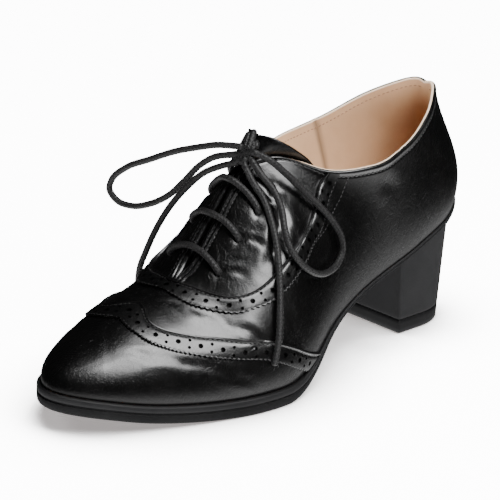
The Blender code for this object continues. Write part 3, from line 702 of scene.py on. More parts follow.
CREASES = [
    # side, share, across, to share, to across, bow, depth, width
    (LATERAL, 0.533, 0.27, 0.418, 0.43, 2.5 * MM, 1.10 * MM, 3.2 * MM),
    (LATERAL, 0.493, 0.33, 0.458, 0.46, -1.0 * MM, 0.45 * MM, 2.2 * MM),
    (LATERAL, 0.368, 0.24, 0.392, 0.36, 1.0 * MM, 0.40 * MM, 1.3 * MM),
    (LATERAL, 0.380, 0.20, 0.408, 0.30, 0.6 * MM, 0.35 * MM, 1.1 * MM),
    (LATERAL, 0.435, 0.23, 0.446, 0.36, 0.8 * MM, 0.45 * MM, 1.3 * MM),
    (LATERAL, 0.447, 0.19, 0.466, 0.30, -0.6 * MM, 0.35 * MM, 1.1 * MM),
    (LATERAL, 0.490, 0.25, 0.497, 0.37, 0.8 * MM, 0.45 * MM, 1.4 * MM),
    (LATERAL, 0.505, 0.19, 0.525, 0.29, -0.8 * MM, 0.40 * MM, 1.2 * MM),
    (LATERAL, 0.232, 0.06, 0.262, 0.30, 2.0 * MM, 0.20 * MM, 1.6 * MM),
    (LATERAL, 0.248, 0.12, 0.283, 0.40, 2.4 * MM, 0.18 * MM, 1.5 * MM),
    (LATERAL, 0.262, 0.26, 0.318, 0.52, 2.0 * MM, 0.20 * MM, 1.7 * MM),
    (LATERAL, 0.300, 0.46, 0.352, 0.60, -1.2 * MM, 0.18 * MM, 1.6 * MM),
    (LATERAL, 0.331, 0.54, 0.363, 0.80, 0.8 * MM, 0.60 * MM, 1.7 * MM),
    (LATERAL, 0.343, 0.55, 0.375, 0.82, 0.6 * MM, 0.42 * MM, 1.3 * MM),
    (LATERAL, 0.430, 0.60, 0.452, 0.90, -1.5 * MM, 0.40 * MM, 2.4 * MM),
    (LATERAL, 0.100, 0.42, 0.150, 0.58, 1.2 * MM, 0.24 * MM, 1.8 * MM),
    (LATERAL, 0.125, 0.52, 0.225, 0.72, 1.5 * MM, 0.28 * MM, 2.2 * MM),
    (LATERAL, 0.190, 0.66, 0.290, 0.80, 1.0 * MM, 0.30 * MM, 2.0 * MM),
    (LATERAL, 0.250, 0.74, 0.330, 0.90, -1.0 * MM, 0.26 * MM, 2.0 * MM),
    (LATERAL, 0.590, 0.20, 0.560, 0.42, 2.0 * MM, 0.35 * MM, 3.0 * MM),
    (LATERAL, 0.640, 0.30, 0.600, 0.60, -2.0 * MM, 0.35 * MM, 4.5 * MM),
    (LATERAL, 0.720, 0.14, 0.755, 0.34, 1.5 * MM, 0.30 * MM, 3.4 * MM),
    (LATERAL, 0.860, 0.30, 0.900, 0.52, 2.0 * MM, 0.30 * MM, 4.0 * MM),
    (MEDIAL, 0.545, 0.27, 0.440, 0.43, 2.5 * MM, 1.00 * MM, 3.2 * MM),
    (MEDIAL, 0.368, 0.24, 0.398, 0.36, 1.0 * MM, 0.40 * MM, 1.3 * MM),
    (MEDIAL, 0.435, 0.23, 0.450, 0.36, 0.8 * MM, 0.45 * MM, 1.3 * MM),
    (MEDIAL, 0.490, 0.25, 0.500, 0.37, 0.8 * MM, 0.45 * MM, 1.4 * MM),
    (MEDIAL, 0.228, 0.08, 0.258, 0.33, 2.2 * MM, 0.42 * MM, 1.6 * MM),
    (MEDIAL, 0.252, 0.18, 0.290, 0.44, 2.0 * MM, 0.38 * MM, 1.5 * MM),
    (MEDIAL, 0.345, 0.56, 0.378, 0.80, 0.8 * MM, 0.70 * MM, 1.7 * MM),
    (MEDIAL, 0.365, 0.58, 0.400, 0.84, 0.6 * MM, 0.50 * MM, 1.4 * MM),
    (MEDIAL, 0.120, 0.50, 0.215, 0.70, 1.5 * MM, 0.28 * MM, 2.2 * MM),
    (MEDIAL, 0.200, 0.66, 0.290, 0.84, 1.0 * MM, 0.30 * MM, 2.0 * MM),
    (MEDIAL, 0.640, 0.26, 0.600, 0.56, -2.0 * MM, 0.35 * MM, 4.5 * MM),
    (MEDIAL, 0.850, 0.26, 0.890, 0.50, 2.0 * MM, 0.30 * MM, 4.0 * MM),
]
CREASE_STEPS = 14
CREASE_REACH = 5.0           # how many of its widths a crease reaches
CREASE_TIP = 0.03            # share of a crease at each end that doesn't fade further
CREASE_FADE = 0.7
RIDGE_HEIGHT = 0.38          # of the ridge beside a trough, in depths, then its place and width
RIDGE_ASIDE = 1.9
RIDGE_WIDE = 0.9
FLEX_CREASED = 0.8           # how flexed the leather is along a crease, and how many widths far
FLEX_WIDE = 2.6
EYELET_DIP = 1.25 * MM
EYELET_REACH = 2.3 * MM
EYELET_FIELD = 9 * MM        # radius within which a lace hole shapes the leather
PUCKER = 0.10 * MM
PUCKERS = 7
PUCKER_AT = 4.0 * MM
PUCKER_WIDE = 1.8 * MM
EYELET_FLEX = 0.9
EYELET_FLEX_WIDE = 5.5 * MM


def crease_lines():
    """Each crease as a bowed line of points on the last, with its depth and width."""
    lines = []
    t = np.linspace(0.0, 1.0, CREASE_STEPS)
    for side, share, across, to_share, to_across, bow, depth, width in CREASES:
        shares = share + (to_share - share) * t
        acrosses = across + (to_across - across) * t
        line = skin(side, shares, acrosses)
        sideways = np.cross(last_normal(side, shares, acrosses), unit(line[-1] - line[0]))
        lines.append((line + sideways * (bow * np.sin(math.pi * t))[:, None], depth, width))
    return lines


CREASE_LINES = crease_lines()
EYELET_SPOTS = [(skin(side, share, across), last_normal(side, share, across), side)
                for share, across, _ in EYELETS for side in SIDES]


def press_crease(points, height, flexed, line, depth, width):
    """Press a trough with a ridge beside it into the heights, and flex the leather there."""
    reach = CREASE_REACH * width
    inside = (points > line.min(axis=0) - reach) & (points < line.max(axis=0) + reach)
    near = np.nonzero(inside.all(axis=1))[0]
    if not len(near):
        return
    best = np.full(len(near), np.inf)
    where = np.zeros(len(near))
    for k in range(len(line) - 1):
        start = line[k]
        run = line[k + 1] - start
        t = np.clip(((points[near] - start) @ run) / (run @ run), 0.0, 1.0)
        away = np.linalg.norm(points[near] - start - t[:, None] * run, axis=1)
        closer = away < best
        best = np.where(closer, away, best)
        where = np.where(closer, (k + t) / (len(line) - 1), where)
    taper = np.sin(math.pi * np.clip(where, CREASE_TIP, 1.0 - CREASE_TIP)) ** CREASE_FADE
    ridge = RIDGE_HEIGHT * hump(best - RIDGE_ASIDE * width, RIDGE_WIDE * width)
    height[near] += depth * taper * (ridge - hump(best, width))
    flexed[near] += FLEX_CREASED * taper * hump(best, FLEX_WIDE * width)


def press_eyelet(points, height, flexed, centre, normal, side):
    """Press the dip and the puckers round a lace hole into the heights, and flex the leather."""
    away = np.linalg.norm(points - centre, axis=1)
    near = away < EYELET_FIELD
    offset = points[near] - centre
    first = np.array([0.0, 1.0, 0.0])
    second = np.cross(normal, first)
    angle = np.arctan2(offset @ second, offset @ first)
    away = away[near]
    height[near] -= EYELET_DIP * hump(away, EYELET_REACH)
    height[near] += (PUCKER * np.cos(PUCKERS * angle + side)
                     * hump(away - PUCKER_AT, PUCKER_WIDE))
    flexed[near] += EYELET_FLEX * hump(away, EYELET_FLEX_WIDE)


def relief(points):
    """How far the leather lies over the last at some points, and how flexed it is there."""
    shape = points.shape[:-1]
    flat = points.reshape(-1, 3)
    height = np.zeros(len(flat))
    flexed = np.zeros(len(flat))
    for line, depth, width in CREASE_LINES:
        press_crease(flat, height, flexed, line, depth, width)
    for centre, normal, side in EYELET_SPOTS:
        press_eyelet(flat, height, flexed, centre, normal, side)
    return height.reshape(shape), np.clip(flexed, 0.0, 1.0).reshape(shape)


# Mesh helpers


def grid_faces(rows, columns, flip, closed):
    """Faces of a grid of points, row after row. A closed one joins its last column to its first."""
    i, j = np.meshgrid(np.arange(rows - 1), np.arange(columns if closed else columns - 1),
                       indexing="ij")
    after = (j + 1) % columns
    faces = np.stack([i * columns + j, (i + 1) * columns + j,
                      (i + 1) * columns + after, i * columns + after], -1).reshape(-1, 4)
    return faces[:, ::-1] if flip else faces


WELD = 0.01 * MM             # points of a piece closer than this become one


class Build:
    """Collects sheets of points and faces for one piece."""

    def __init__(self):
        self.points = []
        self.faces = []
        self.slots = []
        self.traits = {}
        self.count = 0

    def sheet(self, points, flip=False, closed=False, slot=0, **traits):
        """A grid of points. Each trait holds a number or a few for every point."""
        rows, columns = points.shape[:2]
        self.add(points.reshape(-1, 3), grid_faces(rows, columns, flip, closed), slot,
                 **{name: value.reshape(rows * columns, -1) for name, value in traits.items()})

    def add(self, points, faces, slot=0, **traits):
        self.faces += [tuple(int(v) + self.count for v in face) for face in faces]
        self.slots += [slot] * len(faces)
        self.points.append(points)
        for name in traits:
            self.traits.setdefault(name, []).append((self.count, traits[name]))
        self.count += len(points)

    def close(self, first, count, slot=0, flip=False):
        """One face over a ring of points that are there already."""
        ring = tuple(range(first, first + count))
        self.faces.append(ring[::-1] if flip else ring)
        self.slots.append(slot)

    def piece(self, name, finishes, replaced=(), weld=WELD, angle=40.0):
        """The piece of the shoe, with edges sharper than the angle kept sharp."""
        mesh = bpy.data.meshes.new(name)
        points = np.concatenate(self.points)
        mesh.from_pydata(points.tolist(), [], self.faces)
        for trait, blocks in self.traits.items():
            width = blocks[0][1].shape[1]
            values = np.zeros((self.count, 3 if width > 1 else 1))
            for start, block in blocks:
                values[start:start + len(block), :width] = block
            kind = "FLOAT_VECTOR" if width > 1 else "FLOAT"
            kept = mesh.attributes.new(trait, kind, "POINT")
            kept.data.foreach_set("vector" if width > 1 else "value", values.ravel())
        for finish in finishes:
            mesh.materials.append(finish)
        mesh.polygons.foreach_set("material_index", self.slots)
        if weld:
            work = bmesh.new()
            work.from_mesh(mesh)
            bmesh.ops.remove_doubles(work, verts=work.verts, dist=weld)
            bmesh.ops.dissolve_degenerate(work, edges=work.edges, dist=weld)
            work.to_mesh(mesh)
            work.free()
        mesh.shade_smooth()
        mesh.set_sharp_from_angle(angle=math.radians(angle))
        made = bpy.data.objects.new(name, mesh)
        bpy.context.scene.collection.objects.link(made)
        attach(made, "root")
        if replaced:
            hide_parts(*replaced)
        return made


def even(points, step):
    """Points at even steps along a line of points."""
    lengths = along(points)
    at = np.linspace(0.0, lengths[-1], max(3, round(lengths[-1] / step)) + 1)
    return np.stack([np.interp(at, lengths, points[:, k]) for k in range(3)], 1)


def frames_along(points):
    """Tangent and two cross directions at each point of a line, without twist."""
    tangents = unit(np.gradient(points, axis=0))
    firsts = [unit(np.cross(tangents[0], [0.3, 0.2, 1.0]))]
    for tangent in tangents[1:]:
        firsts.append(unit(firsts[-1] - tangent * (firsts[-1] @ tangent)))
    return tangents, np.array(firsts), np.cross(tangents, firsts)


LACE_SIDES = 14
CAP_WIDE = np.array([0.05, 0.5, 0.85])       # rings of a lace's round end: shares of its radius
CAP_BACK = np.array([0.999, 0.86, 0.5])      # and how far past the end they lie, before CAP_FLAT
CAP_FLAT = 0.6


def tube(build, points, radius):
    """A round lace along a line, with round ends and its lay kept for the braid."""
    tangents, first, second = frames_along(points)
    caps = len(CAP_WIDE)
    back = radius * CAP_BACK
    run = along(points)
    run = np.concatenate([run[0] - back, run, run[-1] + back[::-1]])
    wide = np.concatenate([CAP_WIDE, np.ones(len(points)), CAP_WIDE[::-1]]) * radius
    centres = np.concatenate([points[0] - tangents[0] * back[:, None] * CAP_FLAT, points,
                              points[-1] + tangents[-1] * back[::-1, None] * CAP_FLAT])
    first, second = (np.concatenate([np.repeat(way[:1], caps, 0), way, np.repeat(way[-1:], caps, 0)])
                     for way in (first, second))
    angles = np.linspace(0.0, 2 * math.pi, LACE_SIDES, endpoint=False)
    ring = (first[:, None, :] * np.cos(angles)[None, :, None]
            + second[:, None, :] * np.sin(angles)[None, :, None])
    lay = np.stack(np.broadcast_arrays(run[:, None] / MM, angles[None, :]), -1)
    start = build.count
    build.sheet(centres[:, None, :] + ring * wide[:, None, None], closed=True, lay=lay)
    build.close(start, LACE_SIDES)
    build.close(build.count - LACE_SIDES, LACE_SIDES, flip=True)


# Upper

UPPER_STATIONS = 320
EDGE_COLUMNS = 30            # finer columns beside the slit and topline, over this share
EDGE_SHARE = 0.10
UPPER_COLUMNS = 72
LINING_COLUMNS = 34
RIM_STEPS = 10
RIM_LEATHER = {LATERAL: 4, MEDIAL: 7}   # steps the outer leather covers; the rest is lining
RIM_BULGE = 0.8              # limit of the rim's bulge, as a share of its way from the centre
COLLAR_BACK = 0.9            # share behind which the rim bulges in full
FLEX_SHOWN = 0.5             # share of the fine wrinkles that shows on the smooth upper
HOLE_SHADE = 0.5 * MM        # how far round a brogue hole the leather under it is dull
HOLE_FADE = 1.0 * MM
THROAT_TOP = 0.575           # share where the throat ends and the collar begins
LINING_SEAM = 0.777          # share of the lining's upright seam
SEAM_LENGTH = 34 * MM
SEAM_FADE = 6 * MM
SEAM_DIP = 0.55 * MM
SEAM_WIDE = 1.3 * MM
SEAM_SHADE = 0.55             # how dark the painted shade in the seam's crease is
HEM = 2.3 * MM               # from the topline down to the crease of the lining's hem
HEM_DIP = 0.22 * MM
HEM_WIDE = 0.7 * MM
HEM_STITCHES = 3.0 * MM
# Painted shade on the lining deep in the throat: how far ahead of the throat it starts, how it
# fades along the shoe at its front and back, and how far down it goes
THROAT_SHADE_AHEAD = 0.04
THROAT_SHADE_FRONT = 0.01
THROAT_SHADE_BACK = 0.012
THROAT_SHADE_DOWN = 5 * MM
THROAT_SHADE_FADE = 2 * MM
TRIM_CHANGE = 0.565          # share where the slit's strips give way to the collar's bead
TRIM_START = 0.01
TRIM_FADE = 0.02
COLLAR_GROOVE = 2.7 * MM     # from the topline down to the stitched groove
# Height, distance from the edge and width of each strip, groove or bead
SLIT_TRIM = [
    (0.42 * MM, 0.9 * MM, 0.75 * MM),
    (0.34 * MM, 3.1 * MM, 0.75 * MM),
    (-0.30 * MM, 2.0 * MM, 0.45 * MM),
    (-0.30 * MM, 4.4 * MM, 0.55 * MM),
]
COLLAR_TRIM = [
    (0.24 * MM, 0.5 * MM, 0.8 * MM),
    (-0.28 * MM, COLLAR_GROOVE, 0.6 * MM),
]


def trim_height(rows, from_edge):
    return sum(height * hump(from_edge - distance, width) for height, distance, width in rows)


def trim_lift(share, from_edge):
    """Folded strips beside the slit, and a bead and a stitched groove under the topline."""
    slit = ease((share - THROAT_START) / TRIM_START) * ease((TRIM_CHANGE - share) / TRIM_FADE)
    collar = ease((share - TRIM_CHANGE) / TRIM_FADE)
    return slit * trim_height(SLIT_TRIM, from_edge) + collar * trim_height(COLLAR_TRIM, from_edge)


def upper_outside(build, side, shares, columns, holes):
    """The creased leather, dull where it shows through the bands' holes."""
    base = skin(side, shares[:, None], columns[None, :])
    shaded = np.zeros(base.shape[:2])
    for centre, _, radius in holes:
        away = np.linalg.norm(base - centre, axis=2)
        shaded = np.maximum(shaded, 1.0 - ease((away - radius - HOLE_SHADE) / HOLE_FADE))
    height, flexed = relief(base)
    from_edge = np.linalg.norm(base - base[:, :1], axis=2)
    height = height + trim_lift(shares[:, None], from_edge)
    outer = base + last_normal(side, shares[:, None], columns[None, :]) * height[..., None]
    build.sheet(outer, flip=side == LATERAL, flexed=flexed * FLEX_SHOWN, shaded=shaded)
    return outer


def upper_lining(build, side, shares, columns):
    """The lining, with its hem, its upright seam, and painted shade in the throat and in the seam's
    crease.
    """
    inner = skin(side, shares[:, None], columns[None, :], -WALL)
    down = np.linalg.norm(inner - inner[:, :1], axis=2)
    seam = (hump((shares[:, None] - LINING_SEAM) * LENGTH, SEAM_WIDE)
            * ease((SEAM_LENGTH - down) / SEAM_FADE))
    dip = SEAM_DIP * seam + HEM_DIP * hump(down - HEM, HEM_WIDE)
    inner = inner + last_normal(side, shares[:, None], columns[None, :]) * dip[..., None]
    # Painted shade: the lining goes near black deep in the throat, fading at the throat's ends and
    # downwards
    in_throat = (np.clip((shares - THROAT_START + THROAT_SHADE_AHEAD) / THROAT_SHADE_FRONT, 0.0, 1.0)
                 * np.clip((THROAT_TOP - shares) / THROAT_SHADE_BACK, 0.0, 1.0))
    throat_shade = in_throat[:, None] * ease((THROAT_SHADE_DOWN - down) / THROAT_SHADE_FADE)
    # The dark mark holds the painted shade of the throat and of the seam's crease
    build.sheet(inner, flip=side == MEDIAL, slot=2, dark=np.maximum(throat_shade, SEAM_SHADE * seam))
    return inner


def upper_rim(build, side, shares, outer, inner):
    """The rounded edge between leather and lining, round the throat and the collar."""
    rows = shares >= THROAT_START
    upwards = unit(outer[rows, 0] - outer[rows, 2])
    from_centre = np.abs(outer[rows, 0, 0] - PLACE[0])
    bulge = np.minimum(WALL / 2, RIM_BULGE * from_centre)
    bulge = np.where(shares[rows] > COLLAR_BACK, WALL / 2, bulge)
    rim = half_round(outer[rows, 0], inner[rows, 0], upwards * bulge[:, None], RIM_STEPS)
    throat_rows = int((shares[rows] <= THROAT_TOP).sum())
    leather = RIM_LEATHER[side]
    for first, last, collar_slot in ((0, leather, 0), (leather, RIM_STEPS, 1)):
        strip = rim[:, first:last + 1]
        build.sheet(strip[:throat_rows], flip=side == MEDIAL)
        build.sheet(strip[throat_rows - 1:], flip=side == MEDIAL, slot=collar_slot)


def make_upper(finishes):
    """One hollow shell. Its finishes are the leather, the cream edge and the lining."""
    build = Build()
    shares = unturn(np.linspace(0.0, 1.0, UPPER_STATIONS + 1))
    columns = np.concatenate([np.linspace(0.0, EDGE_SHARE, EDGE_COLUMNS, endpoint=False),
                              np.linspace(EDGE_SHARE, 1.0, UPPER_COLUMNS)])
    holes = hole_spots(wing_edges) + hole_spots(facing_edges)
    for side in SIDES:
        outer = upper_outside(build, side, shares, columns, holes)
        inner = upper_lining(build, side, shares, np.linspace(0.0, 1.0, LINING_COLUMNS))
        upper_rim(build, side, shares, outer, inner)
    build.piece("upper_leather", finishes, ("upper",), angle=55.0)


# Brogued bands

BAND_ROW = 0.55 * MM
BAND_ANGLE = 32.0            # degrees past which a band's edge stays sharp
BAND_SWELL = 1.15            # the band's section over its wall
BAND_CLEAR = 0.04 * MM
BAND_MIDDLE = 8              # the section's point in the middle of the band
PINK_PITCH = 2.2 * MM
PINK_DEPTH = 0.75 * MM
PINK_FROM = 0.93             # where in the section the pinking begins
HOLE_PITCH = 10.4 * MM
BIG_HOLE = 1.15 * MM         # radii
SMALL_HOLE = 0.74 * MM
SMALL_SPREAD = 1.75 * MM     # either side of the band's middle, square to it
HOLE_SIDES = 16
HOLE_PART = 0.53             # where the holes run, from the folded edge (0) to the pinked one (1)
HOLE_BELOW = 0.3 * MM        # how far the punch reaches below the band and over it
HOLE_ABOVE = 3.0 * MM
RUN_NUDGE = 0.003            # run to the next place, for the way along a band
RUN_STEPS = 800
# Section of a band from its folded edge to its pinked one: share of its width, share of its height
BAND_SECTION = [
    (0.000, 0.00),
    (0.000, 0.55),
    (0.022, 1.05),
    (0.060, 1.30),
    (0.100, 1.25),
    (0.135, 0.90),
    (0.170, 0.80),
    (0.220, 1.00),
    (0.360, 1.00),
    (0.500, 1.00),
    (0.640, 1.00),
    (0.780, 1.00),
    (0.880, 0.92),
    (0.945, 0.88),
    (0.975, 0.92),
    (1.000, 0.80),
    (1.000, 0.00),
]


def wing_edges(run):
    """Share and across of the wing band's folded edge and pinked edge, from centre to sole."""
    across = BAND_FOOT * np.sin(run * math.pi / 2)
    return WING.read("back", across), across, WING.read("front", across), across


def facing_edges(run):
    """The same of the facing band, from the centre round to the topline."""
    return (FACING.read("inner", run), np.maximum(0.0, FACING.read("inner_across", run)),
            FACING.read("outer", run), np.maximum(0.0, FACING.read("outer_across", run)))


def band_runs(edges, step):
    """Runs at even steps along the middle of a band, on the lateral side, and its length."""
    runs = np.linspace(0.0, 1.0, RUN_STEPS + 1)
    inner, inner_across, outer, outer_across = edges(runs)
    lengths = along(skin(LATERAL, (inner + outer) / 2, (inner_across + outer_across) / 2))
    at = np.linspace(0.0, lengths[-1], round(lengths[-1] / step) + 1)
    return np.interp(at, lengths, runs), at


def band_point(side, edges, run, part, lift):
    """Points on a band: part runs from its folded edge (0) to its pinked one (1)."""
    inner, inner_across, outer, outer_across = edges(run)
    share = inner + (outer - inner) * part
    across = inner_across + (outer_across - inner_across) * part
    base = skin(side, share, across)
    normal = last_normal(side, share, across)
    height, flexed = relief(base)
    return base + normal * (height + lift)[..., None], normal, flexed


def hole_spots(edges):
    """Centre, normal and radius of each punched hole: large ones and pairs between them."""
    spots = []
    runs, _ = band_runs(edges, HOLE_PITCH / 2)
    for side in SIDES:
        for k, run in enumerate(runs[:-1]):
            if side == MEDIAL and k == 0:
                continue
            middle, normal, _ = band_point(side, edges, run, HOLE_PART, 0.0)
            ahead, _, _ = band_point(side, edges, run + RUN_NUDGE, HOLE_PART, 0.0)
            square = unit(np.cross(normal, ahead - middle))
            if k % 2 == 0:
                spots.append((middle, normal, BIG_HOLE))
            else:
                spots.append((middle - square * SMALL_SPREAD, normal, SMALL_HOLE))
                spots.append((middle + square * SMALL_SPREAD, normal, SMALL_HOLE))
    return spots


def band_holes(edges):
    """One cutter with all the punched holes of a band."""
    build = Build()
    angles = np.linspace(0.0, 2 * math.pi, HOLE_SIDES, endpoint=False)[:, None]
    for centre, normal, radius in hole_spots(edges):
        first = unit(np.cross(normal, [0.0, 1.0, 0.3]))
        second = np.cross(normal, first)
        ring = (first * np.cos(angles) + second * np.sin(angles)) * radius
        start = build.count
        build.sheet(np.array([centre - normal * HOLE_BELOW + ring,
                              centre + normal * HOLE_ABOVE + ring]), closed=True, flip=True)
        build.close(start, HOLE_SIDES, flip=True)
        build.close(start + HOLE_SIDES, HOLE_SIDES)
    mesh = bpy.data.meshes.new("holes")
    mesh.from_pydata(np.concatenate(build.points).tolist(), [], build.faces)
    return bpy.data.objects.new("holes", mesh)


def band_strip(side, edges, runs, at):
    """Rows of a band's section on one side, pinked at the outer edge, and how flexed they are."""
    section = np.array(BAND_SECTION)
    strip, normal, flexed = band_point(side, edges, runs[:, None], section[None, :, 0],
                                       section[None, :, 1] * OVERLAY * BAND_SWELL + BAND_CLEAR)
    border = strip[:, -1]
    inwards = np.cross(np.gradient(border, axis=0), normal[:, -1])
    inwards *= np.sign((inwards * (strip[:, BAND_MIDDLE] - border)).sum(axis=1))[:, None]
    wave = np.abs(((at / PINK_PITCH) % 1.0) - 0.5) * 2.0
    pink = (wave * PINK_DEPTH)[:, None, None] * unit(inwards)[:, None, :]
    weight = np.clip((section[:, 0] - PINK_FROM) / (1.0 - PINK_FROM), 0.0, 1.0)
    return strip + pink * weight[None, :, None], flexed


def make_band(name, edges, finish, node):
    """A strip across the vamp, folded at one edge and pinked at the other, with its holes cut."""
    runs, at = band_runs(edges, BAND_ROW)
    lateral, lateral_flexed = band_strip(LATERAL, edges, runs, at)
    medial, medial_flexed = band_strip(MEDIAL, edges, runs, at)
    build = Build()
    build.sheet(np.concatenate([lateral[::-1], medial[1:]]), closed=True, flip=True,
                flexed=np.concatenate([lateral_flexed[::-1], medial_flexed[1:]]))
    count = len(BAND_SECTION)
    build.close(0, count)
    build.close(build.count - count, count, flip=True)
    band = build.piece(name, [finish], (node,), angle=BAND_ANGLE)
    cutter = band_holes(edges)
    bpy.context.scene.collection.objects.link(cutter)
    punch = band.modifiers.new("holes", "BOOLEAN")
    punch.operation = "DIFFERENCE"
    punch.solver = "EXACT"
    punch.object = cutter
    settle(band)
    bpy.data.objects.remove(cutter, do_unlink=True)
    band.data.set_sharp_from_angle(angle=math.radians(BAND_ANGLE))


def settle(made):
    """Keep what the modifiers make of a mesh, and drop them."""
    graph = bpy.context.evaluated_depsgraph_get()
    kept = bpy.data.meshes.new_from_object(made.evaluated_get(graph), preserve_all_data_layers=True,
                                           depsgraph=graph)
    old = made.data
    made.modifiers.clear()
    made.data = kept
    bpy.data.meshes.remove(old)


# Stitches

STITCH = 1.55 * MM
STITCH_PITCH = 2.15 * MM
THREAD = 0.24 * MM           # radius
STITCH_RINGS = [(0.0, 0.0), (0.10, 0.62), (0.30, 0.96), (0.50, 1.0), (0.70, 0.96), (0.90, 0.62),
                (1.0, 0.0)]
STITCH_SIDES = 7
STITCH_LOW = 0.8             # height of a stitch over its width
STITCH_TIP = 0.05            # least radius of a stitch, as a share of the thread's
STITCH_ROW = 1.0 * MM
BAND_STITCHES = (0.155, 0.905)       # parts of a band's width
COLLAR_RUN = (0.585, 0.9995)         # shares from and to
HEM_RUN = (0.600, 0.9995)
HEM_STITCH = 1.3 * MM
SLIT_RUN = (0.325, 0.555)
SLIT_STITCHES = (2.0 * MM, 4.4 * MM)     # distances from the slit
FACING_BEHIND = 0.014        # share by which a row follows behind the facing band's pinked edge
FACING_STEPS = 200
FACING_FROM = 115            # the step of the facing band where that row begins
SIDE_SEAM = ((0.424, 0.585), (0.374, 0.90))     # share and across of its ends
SIDE_SEAM_HALF = 0.0045      # share between the seam and each of its two rows
# How high the rows of stitches lie over the leather
ON_BAND = OVERLAY + 0.02 * MM
IN_COLLAR = -0.10 * MM
IN_SLIT = -0.12 * MM
BEHIND_FACING = 0.05 * MM
ON_SEAM = 0.02 * MM
FINE = 0.8                   # radii of the finer threads, as shares of the thread's
FINER = 0.7


def sew(build, line, normals, stitch=STITCH, radius=THREAD):
    """Stitches along a line on the leather, each a small bead of thread."""
    lengths = along(line)
    count = int((lengths[-1] - stitch) / STITCH_PITCH)
    starts = np.arange(count) * STITCH_PITCH + (lengths[-1] - count * STITCH_PITCH) / 2
    angles = np.linspace(0.0, 2 * math.pi, STITCH_SIDES, endpoint=False)[:, None]

    def read(rows, at):
        return np.array([np.interp(at, lengths, rows[:, k]) for k in range(3)])

    for start in starts:
        first = read(line, start)
        heading = read(line, start + stitch) - first
        up = read(normals, start + stitch / 2)
        cross = np.cross(up, unit(heading))
        ring = cross * np.cos(angles) + up * np.sin(angles) * STITCH_LOW
        rings = [first + heading * t + ring * radius * max(wide, STITCH_TIP)
                 for t, wide in STITCH_RINGS]
        build.sheet(np.array(rings), closed=True)


def leather_line(side, shares, acrosses, lift):
    """Points over the creased leather, and its normals there."""
    base = skin(side, shares, acrosses)
    normal = last_normal(side, shares, acrosses)
    height, _ = relief(base)
    return base + normal * (height + lift)[..., None], normal


def across_at(side, shares, distance):
    """Across of the places that lie a distance below the edge of the leather."""
    columns = np.linspace(0.0, 0.5, 400)
    line = on_last(side, shares[:, None], columns[None, :])
    down = np.linalg.norm(line - line[:, :1], axis=2)
    return np.array([np.interp(distance, row, columns) for row in down])


def sew_bands(build, side):
    """Two rows along each band."""
    for edges in (wing_edges, facing_edges):
        runs, _ = band_runs(edges, STITCH_ROW)
        for part in BAND_STITCHES:
            line, normal, _ = band_point(side, edges, runs[2:-2], part, ON_BAND)
            sew(build, line, normal)


def sew_edges(build, side):
    """One row under the topline and two beside the slit."""
    collar = np.linspace(*COLLAR_RUN, 260)
    sew(build, *leather_line(side, collar, across_at(side, collar, COLLAR_GROOVE), IN_COLLAR))
    slit = np.linspace(*SLIT_RUN, 160)
    for distance in SLIT_STITCHES:
        line, normal = leather_line(side, slit, across_at(side, slit, distance), IN_SLIT)
        sew(build, line, normal, radius=FINE * THREAD)


def sew_side(build, side):
    """One row behind the facing band and two along the side seam."""
    runs = np.linspace(0.0, 1.0, FACING_STEPS)[FACING_FROM:]
    behind = FACING.read("outer", runs) + FACING_BEHIND
    below = np.maximum(0.0, FACING.read("outer_across", runs))
    sew(build, *leather_line(side, behind, below, BEHIND_FACING))
    (share, across), (to_share, to_across) = SIDE_SEAM
    down = np.linspace(0.0, 1.0, 120)
    for aside in (-SIDE_SEAM_HALF, SIDE_SEAM_HALF):
        line, normal = leather_line(side, share + (to_share - share) * down + aside,
                                    across + (to_across - across) * down, ON_SEAM)
        sew(build, line, normal, radius=FINER * THREAD)


def make_stitches(black_thread, tan_thread):
    outside = Build()
    lining = Build()
    for side in SIDES:
        sew_bands(outside, side)
        sew_edges(outside, side)
        sew_side(outside, side)
        collar = np.linspace(*HEM_RUN, 260)
        below = across_at(side, collar, HEM_STITCHES)
        sew(lining, skin(side, collar, below, -WALL - ON_SEAM),
            -last_normal(side, collar, below), stitch=HEM_STITCH)
    outside.piece("black_stitches", [black_thread], weld=0.0)
    lining.piece("lining_stitches", [tan_thread], weld=0.0)


# Tongue


TONGUE_STEPS = (60, 30)      # rows under the facings and above the throat
TONGUE_COLUMNS = 14          # columns under a facing, and from there to the middle
TONGUE_FREE = 11
TONGUE_FLEX = 0.35
TIP_LEAN = (0.0, 0.6, -0.2)  # the way through the tongue's wall at its tip
TIP_FROM = 0.60              # share where the tongue's tip begins to sag in the middle
TIP_DROP = 1.7 * MM
TIP_HALF = 5.0 * MM
EDGE_STEPS = 6
EDGE_ROUND = 0.8


def tongue_rows(shares, lift):
    """Rows across the tongue at a lift: under one facing, over the middle, under the other."""
    steps = np.linspace(TONGUE_UNDER, 0.0, TONGUE_COLUMNS)
    halves = {side: skin(side, shares[:, None], steps[None, :], lift) for side in SIDES}
    below = np.minimum(shares, TONGUE_LEAVES)
    middle = (skin(LATERAL, below, 0.0 * below, lift) + skin(MEDIAL, below, 0.0 * below, lift)) / 2
    tip = np.array([0.0, TONGUE_TOP[0] - LENGTH / 2, TONGUE_TOP[1]]) + PLACE
    tip = tip - np.array(TIP_LEAN) * (lift + WALL + TONGUE_SLACK)
    middle = middle + (tip - middle) * ((shares - below) / (TONGUE_TO - TONGUE_LEAVES))[:, None]
    free = {}
    for side, points in halves.items():
        border = points[:, -1]
        span = np.linalg.norm(middle - border, axis=1, keepdims=True)
        first = border + unit(border - points[:, -2]) * span * TONGUE_ARCH[0]
        second = middle.copy()
        second[:, 0] += (border[:, 0] - PLACE[0]) * TONGUE_ARCH[1]
        t = np.linspace(0.0, 1.0, TONGUE_FREE)[1:-1][None, :, None]
        free[side] = bezier(border[:, None], first[:, None], second[:, None], middle[:, None], t)
    return np.concatenate([halves[LATERAL], free[LATERAL], middle[:, None],
                           free[MEDIAL][:, ::-1], halves[MEDIAL][:, ::-1]], axis=1)


